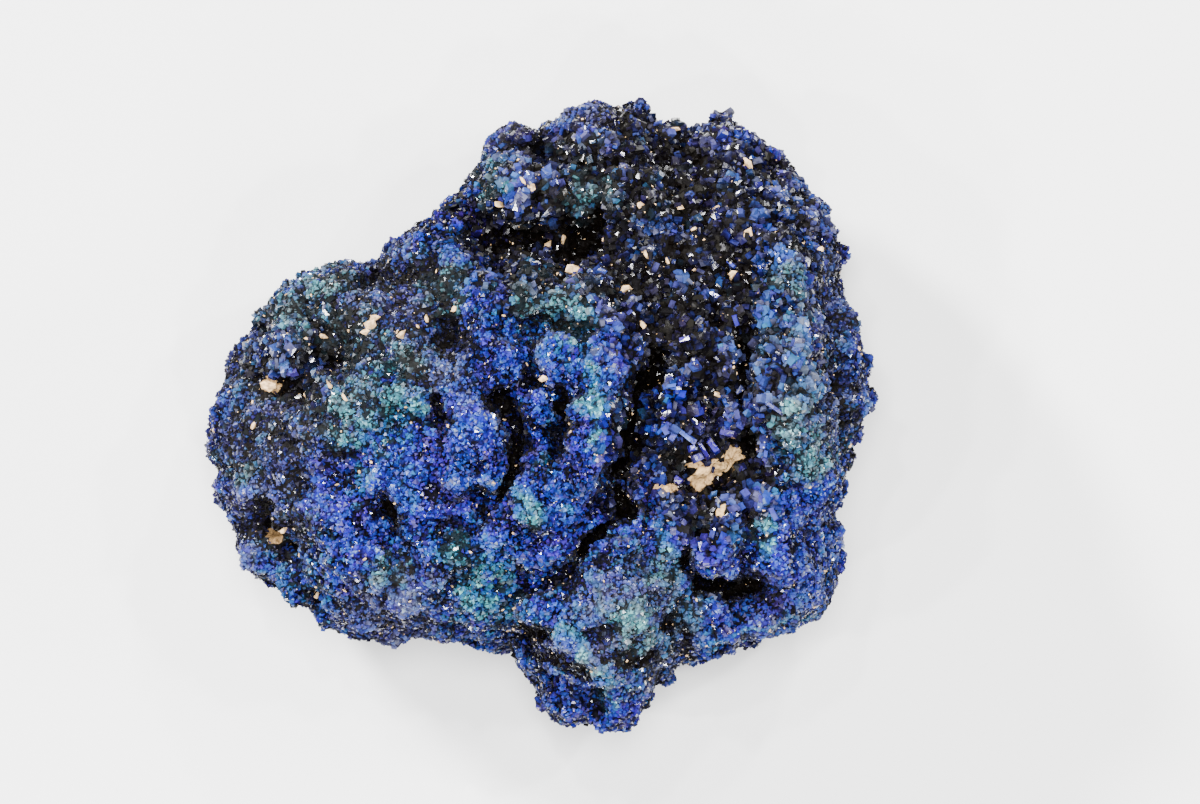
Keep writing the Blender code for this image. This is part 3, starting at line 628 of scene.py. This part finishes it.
def ground_finish(colours):
    """The finish of the ground between the crystals, with the windows of matrix in it."""
    material, shader, start = start_finish("azurite_ground", 0.55, 1.6)
    shader.inputs["Specular IOR Level"].default_value = 0.02
    teal, hollow, bright, bare, coarse = (
        named_value(start, label) for label in ("teal", "hollow", "bright", "bare", "coarse"))
    place = start.node("ShaderNodeTexCoord", output="Object")
    grains, own = (
        start.node("ShaderNodeTexVoronoi", {}, {"Vector": place, "Scale": 2400.0}, output)
        for output in ("Distance", "Color"))
    shade = start.node("ShaderNodeSeparateColor", {}, {"Color": own}, 0)
    mottle = uneven(start, 1400.0, 4.0)
    # The ground darkens towards the edge of each grain: painted shade in the creases between packed crystals
    tone = bright + (shade - 0.5) * 0.3 + (mottle - 0.5) * 0.5 - grains * 0.35 - coarse * 0.1 - 0.12
    greyed = named_value(start, "dull") * (0.3 + mottle)
    crust = crust_colour(start, colours, tone, teal + (mottle - 0.5) * 0.6, greyed, hollow + coarse * 0.1, 0.0)
    grit = uneven(start, 2600.0, 4.0, 5.0)
    pale = (grit * 0.9 + 0.1).rise(0.3, 0.6) * named_value(start, "pale")
    rock = pale.blend(opaque(colours.ochre), opaque(colours.matrix))
    final = bare.rise(0.35, 0.65).blend(crust, rock)
    start.tree.links.new(final.socket, shader.inputs["Base Color"])
    height = mottle * 0.3 - grains
    rough = start.node("ShaderNodeBump", {}, {"Strength": 0.7, "Distance": 0.0002, "Height": height}, "Normal")
    start.tree.links.new(rough.socket, shader.inputs["Normal"])
    return material


def matrix_finish(colours):
    """The finish of the grains of matrix."""
    material, shader, start = start_finish("matrix_grains", 0.55, 1.5)
    grit = uneven(start, 1800.0, 4.0, 2.0)
    dull = tuple(0.5 * part for part in colours.matrix)
    pale = tuple(min(1.0, 1.15 * part + 0.06) for part in colours.matrix)
    final = grit.rise(0.35, 0.62).blend(opaque(dull), opaque(pale))
    start.tree.links.new(final.socket, shader.inputs["Base Color"])
    return material


def even_surface(mesh_size):
    """The specimen's solid as an even fine mesh: its points and triangles, in millimetres."""
    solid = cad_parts[NODE]
    copy = bpy.data.objects.new("even_solid", solid.data.copy())
    bpy.context.scene.collection.objects.link(copy)
    weld = copy.modifiers.new("weld", "WELD")
    weld.merge_threshold = 0.001 * MM
    even = copy.modifiers.new("even", "REMESH")
    even.mode = "VOXEL"
    even.voxel_size = mesh_size
    bpy.context.view_layer.update()
    made = copy.evaluated_get(bpy.context.evaluated_depsgraph_get())
    points, triangles = mesh_arrays(made.to_mesh())
    made.to_mesh_clear()
    bpy.data.objects.remove(copy, do_unlink=True)
    return points, triangles


def openness(points, normals, triangles):
    """The share of the sky that each point sees, from rays to all sides."""
    tree = BVHTree.FromPolygons([tuple(place) for place in points], [tuple(corners) for corners in triangles])
    turns = np.arange(OPEN_RAYS) * (math.pi * (3 - math.sqrt(5)))
    rises = 0.2 + 0.78 * (np.arange(OPEN_RAYS) + 0.5) / OPEN_RAYS
    spread = np.sqrt(1 - rises**2)
    rays = np.stack([spread * np.cos(turns), spread * np.sin(turns), rises], axis=1)
    seen = np.zeros(len(points))
    starts = points + 0.25 * normals
    for index, (start, normal) in enumerate(zip(starts, normals)):
        lean = Vector(normal)
        turn = lean.to_track_quat("Z", "Y").to_matrix()
        origin = Vector(start)
        free = 0
        for ray in rays:
            if tree.ray_cast(origin, turn @ Vector(ray), OPEN_REACH)[0] is None:
                free += 1
        seen[index] = free
    return seen / OPEN_RAYS


def crust_values(points, normals, edges, triangles):
    """What the crust is like at each point of the ground: each value runs from 0 to 1."""
    # How the place lies: up or on the lower sides, in a dip or on a crest, and how shut in it is
    facing = step(normals[:, 2], -0.35, 0.25)
    # The rim is the steep and lower sides, greyed below as painted shade
    rim = 1 - step(normals[:, 2], 0.1, 0.6)
    close = smoothed(points, edges, 3)
    near = smoothed(close, edges, 5)
    far = smoothed(near, edges, 46)
    dip = ((near - points) * normals).sum(axis=1)
    valley = ((far - points) * normals).sum(axis=1)
    crest = step(-valley, -0.1, 0.8)
    knob = np.clip(-((close - points) * normals).sum(axis=1) / 0.08, -1.0, 1.0)
    # How shut in each place is; it paints shade into the tone and the hollows below
    closed = smoothed((1 - openness(points, normals, triangles))[:, None], edges, 2)[:, 0]
    (_, large_gap, large_own), (_, small_gap, small_own) = (cells(points, size, seed) for size, _, seed in LUMPS)

    # The zones that the tables name, with wavering edges
    wobble = np.stack([waves(points, 5.0, seed) for seed in (3, 4)], axis=1)
    plan = points[:, :2] + 0.7 * wobble
    fine_wobble = waves(points, 1.6, 6)
    teal = patches(plan, TEAL_PATCHES) * facing
    teal = np.maximum(teal, 0.75 * step(waves(points, 13.0, 7), 0.9, 1.8) * (1 - step(points[:, 2], 8.0, 14.0)))
    coarse = patches(plan, COARSE_ZONES, 0.35) * step(points[:, 2], 6.0, 14.0)
    coarse = np.maximum(coarse * (1 - 0.8 * teal), 0.45 * (1 - step(points[:, 2], 8.0, 18.0)))
    bright_zone, worn, stained, wash = (
        patches(plan, zones, 0.5) * facing for zones in (BRIGHT_ZONES, WORN_ZONES, STAINED_ZONES, TEAL_WASHES))
    shady = patches(plan, SHADY_ZONES, 0.45) * facing

    # How pale it is, with painted highlights on crests and knobs and painted shade on the steep and lower sides,
    # in valleys and in shut-in places
    bright = USUAL_TONE + BRIGHT_GAIN * bright_zone - 0.07 * coarse - SHADE_LOSS * shady
    # Painted shade: darker where the surface turns steep or faces down
    bright += WORN_GAIN * worn - 0.15 * (1 - step(normals[:, 2], 0.05, 0.6))
    bright += 0.09 * waves(points, 5.0, 9) + 0.08 * waves(points, 1.8, 19)
    bright += (0.07 + 0.19 * coarse + 0.06 * rim) * (large_own - 0.5) + (0.06 + 0.1 * coarse) * (small_own - 0.5)
    # Painted highlight on crests and knobs, painted shade in valleys and shut-in places
    bright += 0.19 * crest + 0.08 * knob - 0.15 * step(valley, 0.0, 1.0) - 0.16 * step(closed, 0.3, 0.75)
    bright = np.clip(bright, 0.0, 1.0)

    # How dark the gaps and hollows are: the brown-black stain, and painted shade in dips, valleys, shut-in places
    # and the creases between the lumps
    hollow = 0.3 * step(dip, 0.05, 0.3) + 0.95 * step(closed, 0.64, 1.0) + 0.1 * step(valley, 0.0, 0.9)
    hollow += (0.1 + 0.28 * coarse) * (1 - step(large_gap, 0.02, 0.2))
    hollow += (0.05 + 0.2 * coarse) * (1 - step(small_gap, 0.02, 0.22)) - 0.25 * crest
    hollow = np.clip(hollow + 0.21 * stained, 0.0, 1.0)

    # How blue-green it is
    streaks = step(waves(points, 1.3, 27) + 0.6 * knob, 0.0, 1.6)
    teal = np.clip(teal * (0.4 + 0.8 * crest) + 0.35 * fine_wobble * teal + 0.6 * wash * streaks, 0.0, 1.0)
    teal = np.maximum(teal, 0.45 * streaks * step(waves(points, 6.0, 28), 0.2, 1.2) * facing)

    for line, half_width, clear in PALE_EDGES:
        away = distance_to_line(plan, line)
        edge = clear * np.exp(-(away / half_width) ** 2) * facing
        comb = clear * np.cos(2 * math.pi * away / COMB_SPACING) * np.exp(-(away / COMB_REACH) ** 2) * facing
        teal = np.maximum(teal, 0.75 * edge)
        bright += 0.15 * edge + 0.08 * comb
        hollow -= 0.5 * edge
    # The narrow black hollows: painted shade of the deep hollows together with their stain
    for line, half_width in BLACK_HOLLOWS:
        share = distance_to_line(points[:, :2], line) / half_width + 0.15 * fine_wobble
        hollow = np.maximum(hollow, 0.95 * np.exp(-(share**4)) * facing)
    hollow = np.clip(hollow, 0.0, 1.0)

    # Where the matrix shows, and the scar that the specimen rests on
    bare = np.zeros(len(points))
    pale = np.full(len(points), 0.6)
    for line, half_width, paleness in MATRIX_WINDOWS:
        edge = distance_to_line(points[:, :2], line) / half_width + 0.16 * fine_wobble
        found = (1 - step(edge, 0.8, 1.1)) * facing
        bare = np.maximum(bare, found)
        pale = np.where(found > 0, paleness, pale)
    scar = (1 - step(points[:, 2], 0.05, 0.3)) * step(-normals[:, 2], 0.5, 0.9)
    bare = np.maximum(bare, scar * step(waves(points, 9.0, 12) + 0.5 * fine_wobble, -0.9, 0.2))

    # Where the crystals are grey: the dull and worn zones and some lumps, and the steep and lower sides, greyed
    # and darkened as painted shade
    dull = np.maximum(np.maximum(patches(plan, DULL_ZONES, 0.5), 0.35 * worn), 0.8 * rim * facing + 0.4 * rim)
    dull = np.clip(dull * (0.5 + 0.9 * small_own) - 0.2 * coarse * (1 - rim), 0.0, 1.0)
    dull = np.maximum(dull, 0.7 * coarse * step(large_own, 0.72, 0.78))
    bright = np.clip(bright - 0.07 * dull, 0.0, 1.0)
    return dict(zip(CRUST_VALUES, (teal, coarse, bright, hollow, dull, bare, pale, scar)))


def line_relief(points, lines, waver):
    """The height of the nearest of the lines at each point, which falls off past the line's half width."""
    found = np.zeros(len(points))
    for line, half_width, height in lines:
        share = distance_to_line(points[:, :2], line) / half_width + waver
        found = np.maximum(found, height * np.exp(-LINE_FALL * np.abs(share) ** 3))
    return found


def grow_ground(shape):
    """The ground that the crystals stand on."""
    points, triangles = even_surface(shape.ground_mesh)
    edges = edges_of(triangles)
    points = smoothed(points, edges, 2)
    broad = point_normals(smoothed(points, edges, 4), triangles)
    resting = points[:, 2] < 0.2
    coarse = patches(points[:, :2], COARSE_ZONES, 0.35)
    depth = shape.ground_depth / MM + 0.1 * waves(points, 0.9, 22)
    for size, height, seed in LUMPS:
        relief = np.clip(1.6 * cells(points, size, seed)[0], 0.0, 1.2) ** 2 - LUMP_MIDDLE
        depth += height * (1 + COARSE_LUMPS * coarse) * relief
    up = step(broad[:, 2], -0.1, 0.3)
    crevice = line_relief(points, CREVICES, 0.15 * waves(points, 1.5, 23))
    fold = line_relief(points, FOLDS, 0.2 * waves(points, 2.2, 24))
    valley = ((smoothed(points, edges, 60) - points) * broad).sum(axis=1)
    depth += DEEPER_VALLEYS * np.clip(valley, -HIGHEST_CREST * up, 3.0)
    points = points - broad * np.where(resting, 0.0, depth)[:, None]
    points[:, 2] += (fold - crevice) * up
    points[:, 2] = np.where(resting, 0.0, np.maximum(points[:, 2], 0.0))
    normals = point_normals(points, triangles)
    return points, triangles, crust_values(points, normals, edges, triangles)


def ground_samples(count, draw, density):
    """Random places on the ground, as many to the area as density asks: place, normal and values of each."""
    mesh = bpy.data.objects[GROUND].data
    points, triangles = mesh_arrays(mesh)
    normals = point_normals(points, triangles)
    values = {}
    for label in CRUST_VALUES:
        numbers = np.empty(len(points), np.float32)
        mesh.attributes[label].data.foreach_get("value", numbers)
        values[label] = numbers
    area = np.linalg.norm(face_normals(points, triangles), axis=1) / 2
    weight = area * density({label: numbers[triangles].mean(axis=1) for label, numbers in values.items()},
                            points[triangles].mean(axis=1), normals[triangles].mean(axis=1))
    total = weight.sum()
    count = int(min(count, total))
    chosen = np.sort(np.searchsorted(np.cumsum(weight), draw.uniform(0, total, count)))
    chosen = np.clip(chosen, 0, len(triangles) - 1)
    shares = draw.dirichlet((1, 1, 1), count)
    corners = triangles[chosen]
    place = (points[corners] * shares[:, :, None]).sum(axis=1)
    normal = (normals[corners] * shares[:, :, None]).sum(axis=1)
    normal /= np.linalg.norm(normal, axis=1)[:, None]
    return place, normal, {label: (numbers[corners] * shares).sum(axis=1) for label, numbers in values.items()}


def crystal_meshes(place, axis, spin, draw, size, corners, faces, ragged=0.14):
    """One closed crystal at each place, all in one pair of arrays.

    The size is the width, the thickness, the length above the ground and the length sunk in it.
    """
    width, thickness, length, sunk = size
    count = len(place)
    helper = np.where(np.abs(axis[:, [2]]) < 0.9, np.array([[0.0, 0.0, 1.0]]), np.array([[1.0, 0.0, 0.0]]))
    across = np.cross(axis, helper)
    across /= np.linalg.norm(across, axis=1)[:, None]
    along = np.cross(axis, across)
    first = across * np.cos(spin)[:, None] + along * np.sin(spin)[:, None]
    second = np.cross(axis, first)
    shape = np.array(corners, float)[None] * np.ones((count, 1, 1))
    shape[:, :, :2] *= 1 + ragged * draw.uniform(-1, 1, (count, len(corners), 2))
    top = shape[:, :, 2] > 0.5
    shape[:, :, 2] += np.where(top, 0.12 * draw.uniform(-1, 1, (count, len(corners))), 0)
    points = (
        place[:, None]
        + shape[:, :, [0]] * (width[:, None, None] * first[:, None])
        + shape[:, :, [1]] * (thickness[:, None, None] * second[:, None])
        + (shape[:, :, [2]] * (length + sunk)[:, None, None] - sunk[:, None, None]) * axis[:, None]
    )
    points[:, :, 2] = np.maximum(points[:, :, 2], 0.03)
    triangles = np.array(faces)[None] + len(corners) * np.arange(count)[:, None, None]
    return points.reshape(-1, 3), triangles.reshape(-1, 3)


def lean_out(normal, draw, amount):
    """Directions near each normal, leaning every way by about amount."""
    axis = normal + amount * draw.normal(size=normal.shape)
    axis /= np.linalg.norm(axis, axis=1)[:, None]
    inward = (axis * normal).sum(axis=1) < 0.25
    axis[inward] = normal[inward]
    return axis


def usual_width(shape, coarse):
    return (shape.fine_width + (shape.coarse_width - shape.fine_width) * coarse) / MM


def grow_crystals(shape, kind, count, zones):
    """Crystals of one kind on the ground, cut into pieces from west to east, which take the zones' names."""
    draw = np.random.default_rng(shape.seed + len(kind))
    fine = kind == "fine"

    def density(values, place, normal):
        width = usual_width(shape, values["coarse"])
        share = 1 - step(values["coarse"], 0.3, 0.6) if fine else step(values["coarse"], 0.15, 0.5)
        share *= (1 - step(values["bare"], 0.0, 0.5)) * (1 - values["scar"])
        share *= 0.4 + 0.6 * step(normal[:, 2], -0.7, -0.1)
        return share * shape.crowding / ((0.4 if fine else 0.46) * width**2)

    place, normal, values = ground_samples(count, draw, density)
    spread = np.clip(0.26 * draw.normal(size=len(place)), -0.6, 0.42)
    size = usual_width(shape, values["coarse"]) * np.exp(spread)
    size *= 1 - 0.25 * values["hollow"]
    axis = lean_out(normal, draw, 0.3 if fine else 0.45)
    thickness = size * draw.uniform(0.5 if fine else 0.4, 0.9, len(place))
    length = (0.3 if fine else 0.55) * size * draw.uniform(0.4, 1.5, len(place))
    spin = math.pi * waves(place, 4.0, 31) + (0.5 if fine else 2.0) * draw.normal(size=len(place))
    corners, faces = (CHIP_CORNERS, CHIP_FACES) if fine else (BLOCK_CORNERS, BLOCK_FACES)
    points, triangles = crystal_meshes(
        place, axis, spin, draw, (size, thickness, length, 0.45 * size), corners, faces, 0.2)
    shade = draw.beta(1.8, 2.2, len(place)) if fine else draw.beta(1.2, 1.4, len(place))
    gleam = draw.random(len(place))
    stray = draw.random(len(place))
    # The tip value is 1 at the top corners; the finish paints them paler than the base, as painted shade towards
    # the base
    tip = np.array(corners, float)[:, 2]
    per_crystal = {"shade": shade, "gleam": gleam, "stray": stray}
    per_crystal.update({label: values[label] for label in ("teal", "hollow", "bright", "dull")})
    material = crystal_finish(bpy.context.scene.azurite_colours, "velvet_azurite" if fine else "blocky_azurite")
    order = np.argsort(place[:, 0] - 1000 * (place[:, 2] > 12.0))
    for name, part in zip(zones, np.array_split(order, len(zones))):
        own = (part[:, None] * len(corners) + np.arange(len(corners))).ravel()
        local = np.array(faces)[None] + len(corners) * np.arange(len(part))[:, None, None]
        numbers = {label: np.repeat(found[part], len(corners)) for label, found in per_crystal.items()}
        numbers["tip"] = np.tile(tip, len(part))
        new_piece(name, points[own], local.reshape(-1, 3), numbers, material)


class AZURITE_OT_ground(bpy.types.Operator):
    """Makes the dark ground that the crystals grow on"""

    bl_idname = "azurite.ground"
    bl_label = "Ground"

    def execute(self, context):
        points, triangles, values = grow_ground(context.scene.azurite_shape)
        material = ground_finish(context.scene.azurite_colours)
        new_piece(GROUND, points, triangles, values, material, smooth=True)
        return {"FINISHED"}


class AZURITE_OT_fine_crystals(bpy.types.Operator):
    """Grows the fine, velvety crystals"""

    bl_idname = "azurite.fine_crystals"
    bl_label = "Fine crystals"

    def execute(self, context):
        zones = ("fine_crystals_west", "fine_crystals_middle", "fine_crystals_east")
        grow_crystals(context.scene.azurite_shape, "fine", FINE_COUNT, zones)
        return {"FINISHED"}


class AZURITE_OT_coarse_crystals(bpy.types.Operator):
    """Grows the coarse, blocky crystals"""

    bl_idname = "azurite.coarse_crystals"
    bl_label = "Coarse crystals"

    def execute(self, context):
        zones = ("coarse_crystals_west", "coarse_crystals_east")
        grow_crystals(context.scene.azurite_shape, "coarse", COARSE_COUNT, zones)
        return {"FINISHED"}


class AZURITE_OT_blades(bpy.types.Operator):
    """Lays the few long blades that stand out on the show face"""

    bl_idname = "azurite.blades"
    bl_label = "Long blades"

    def execute(self, context):
        draw = np.random.default_rng(context.scene.azurite_shape.seed + 200)
        ground, faces = mesh_arrays(bpy.data.objects[GROUND].data)
        plan = np.array([blade[0] for blade in BLADES])
        heading, length, width, bright, dull = np.array([blade[1:] for blade in BLADES]).T
        count = len(plan)
        place = np.column_stack([plan, surface_height(ground, faces, plan) + 0.05])
        axis = lean_out(np.tile([0.0, 0.0, 1.0], (count, 1)), draw, 0.12)
        points, triangles = crystal_meshes(
            place, axis, np.radians(heading) - math.pi / 2, draw, (length, width, 0.5 * width, 0.7 * width),
            BLOCK_CORNERS, BLOCK_FACES, 0.12)
        each = len(BLOCK_CORNERS)
        alike = {"shade": 0.5, "teal": 0.0, "hollow": 0.0, "gleam": 0.9, "stray": 0.7}
        values = {label: np.full(count * each, number) for label, number in alike.items()}
        values.update(
            bright=np.repeat(bright, each), dull=np.repeat(dull, each),
            tip=np.tile(np.array(BLOCK_CORNERS)[:, 2], count))
        material = crystal_finish(context.scene.azurite_colours, "bladed_azurite")
        new_piece("long_blades", points, triangles, values, material)
        return {"FINISHED"}


def surface_height(points, triangles, plan):
    """The height of the ground's highest point near each place in plan."""
    found = []
    for place in plan:
        near = np.linalg.norm(points[:, :2] - place, axis=1) < 0.5
        found.append(points[near, 2].max() if near.any() else 0.0)
    return np.array(found)


class AZURITE_OT_matrix_grains(bpy.types.Operator):
    """Sets the pale grains of matrix between the crystals"""

    bl_idname = "azurite.matrix_grains"
    bl_label = "Matrix grains"

    def execute(self, context):
        draw = np.random.default_rng(context.scene.azurite_shape.seed + 100)
        ground, faces = mesh_arrays(bpy.data.objects[GROUND].data)
        plan = np.array([middle for middle, _ in MATRIX_GRAINS])
        sizes = np.array([radius for _, radius in MATRIX_GRAINS])
        level = surface_height(ground, faces, plan)
        stray, normal, _ = ground_samples(STRAY_GRAINS, draw, lambda values, place, out: 0.12 * (
            (1 + values["coarse"]) * step(place[:, 2], 12.0, 22.0) * (1 - values["scar"]) + 0.3))
        place = np.concatenate([np.column_stack([plan, level + 0.25]), stray + 0.2 * normal])
        sizes = np.concatenate([sizes, 0.07 + 0.16 * draw.random(len(stray)) ** 2])
        out = np.concatenate([np.tile([0.0, 0.0, 1.0], (len(plan), 1)), normal])
        width = sizes * 2
        points, triangles = crystal_meshes(
            place, lean_out(out, draw, 0.5), draw.uniform(0, math.pi, len(width)), draw,
            (width * 1.2, width * draw.uniform(0.45, 0.95, len(width)), 0.5 * sizes, 0.7 * sizes),
            *pebble_shape(), 0.5)
        new_piece("matrix_grains", points, triangles, {}, matrix_finish(context.scene.azurite_colours))
        return {"FINISHED"}


# Large soft lamps: share of the soft power, size and place
SOFT_LAMPS = {
    "soft_overhead": (0.8, 0.3, (0.0, 0.1, 1.3)),
    "soft_north_west": (1.5, 0.18, (-0.8, 0.7, 0.75)),
    "soft_east": (0.2, 0.25, (0.9, 0.1, 0.7)),
    "soft_south": (0.15, 0.25, (0.1, -0.9, 0.6)),
}

# Small lamps that make the crystals glint: their places
GLINT_LAMPS = {
    "glint_north": (-0.15, 0.35, 1.0),
    "glint_west": (-0.5, -0.1, 0.8),
    "glint_east": (0.45, 0.25, 0.85),
    "glint_south": (0.15, -0.4, 0.9),
    "glint_north_east": (0.3, 0.6, 0.8),
    "glint_south_west": (-0.45, -0.45, 0.8),
}


# The height of the rim, where the width of the view is measured, and the middle of the view
RIM_HEIGHT = 14.5 * MM
VIEW_MIDDLE = (6.2 * MM, 1.55 * MM)


def add_lamp(name, energy, size, place, aim=(0.0, 0.0, 0.015)):
    light = bpy.data.lights.new(name, "AREA")
    light.shape = "DISK"
    light.size = size
    light.energy = energy
    lamp = bpy.data.objects.new(name, light)
    lamp.location = place
    lamp.rotation_euler = (Vector(aim) - Vector(place)).to_track_quat("-Z", "Y").to_euler()
    lamp.visible_camera = False
    bpy.context.scene.collection.objects.link(lamp)


class AZURITE_OT_stage(bpy.types.Operator):
    """Makes the pale floor, the soft light and the camera"""

    bl_idname = "azurite.stage"
    bl_label = "Stage"

    def execute(self, context):
        studio = context.scene.azurite_studio
        colours = context.scene.azurite_colours
        bpy.ops.mesh.primitive_plane_add(size=12.0, location=(0.0, 0.0, -0.0002))
        floor = context.active_object
        floor.name = "pale_floor"
        paint, shader, _ = start_finish("pale_floor", 0.9, 1.45)
        shader.inputs["Base Color"].default_value = opaque(colours.floor)
        shader.inputs["Specular IOR Level"].default_value = 0.1
        floor.data.materials.append(paint)
        world = bpy.data.worlds.new("soft_sky")
        world.use_nodes = True
        sky = world.node_tree.nodes["Background"]
        sky.inputs["Color"].default_value = (1.0, 1.0, 1.0, 1.0)
        sky.inputs["Strength"].default_value = studio.sky
        context.scene.world = world
        for name, (share, size, place) in SOFT_LAMPS.items():
            add_lamp(name, studio.soft_power * share, size, place)
        for name, place in GLINT_LAMPS.items():
            add_lamp(name, studio.glint_power, 0.05, place)
        lens = bpy.data.cameras.new("camera")
        lens.sensor_width = 36.0
        lens.lens = lens.sensor_width * (studio.camera_height - RIM_HEIGHT) / studio.view_width
        lens.clip_start = 0.05
        lens.clip_end = 20.0
        camera = bpy.data.objects.new("camera", lens)
        camera.location = (*VIEW_MIDDLE, studio.camera_height)
        context.scene.collection.objects.link(camera)
        context.scene.camera = camera
        return {"FINISHED"}


class AZURITE_PT_panel(bpy.types.Panel):
    """Lists the sizes, the colours and the steps that build the specimen"""

    bl_idname = "AZURITE_PT_panel"
    bl_label = "Azurite specimen"
    bl_space_type = "VIEW_3D"
    bl_region_type = "UI"
    bl_category = "Azurite"

    def draw(self, context):
        for name in SETTINGS:
            settings = getattr(context.scene, name)
            column = self.layout.column()
            for label in settings.__annotations__:
                column.prop(settings, label)
        for step_class in STEPS:
            self.layout.operator(step_class.bl_idname)


STEPS = (
    AZURITE_OT_ground,
    AZURITE_OT_fine_crystals,
    AZURITE_OT_coarse_crystals,
    AZURITE_OT_blades,
    AZURITE_OT_matrix_grains,
    AZURITE_OT_stage,
)
SETTINGS = {"azurite_shape": AzuriteShape, "azurite_colours": AzuriteColours, "azurite_studio": StudioSetting}
CLASSES = (*SETTINGS.values(), *STEPS, AZURITE_PT_panel)


def register():
    for each in CLASSES:
        bpy.utils.register_class(each)
    for name, group in SETTINGS.items():
        setattr(bpy.types.Scene, name, PointerProperty(type=group))


def unregister():
    for name in SETTINGS:
        delattr(bpy.types.Scene, name)
    for each in reversed(CLASSES):
        bpy.utils.unregister_class(each)


def main():
    register()
    bpy.ops.azurite.ground()
    bpy.ops.azurite.fine_crystals()
    bpy.ops.azurite.coarse_crystals()
    bpy.ops.azurite.blades()
    bpy.ops.azurite.matrix_grains()
    bpy.ops.azurite.stage()


if __name__ == "__main__":
    main()
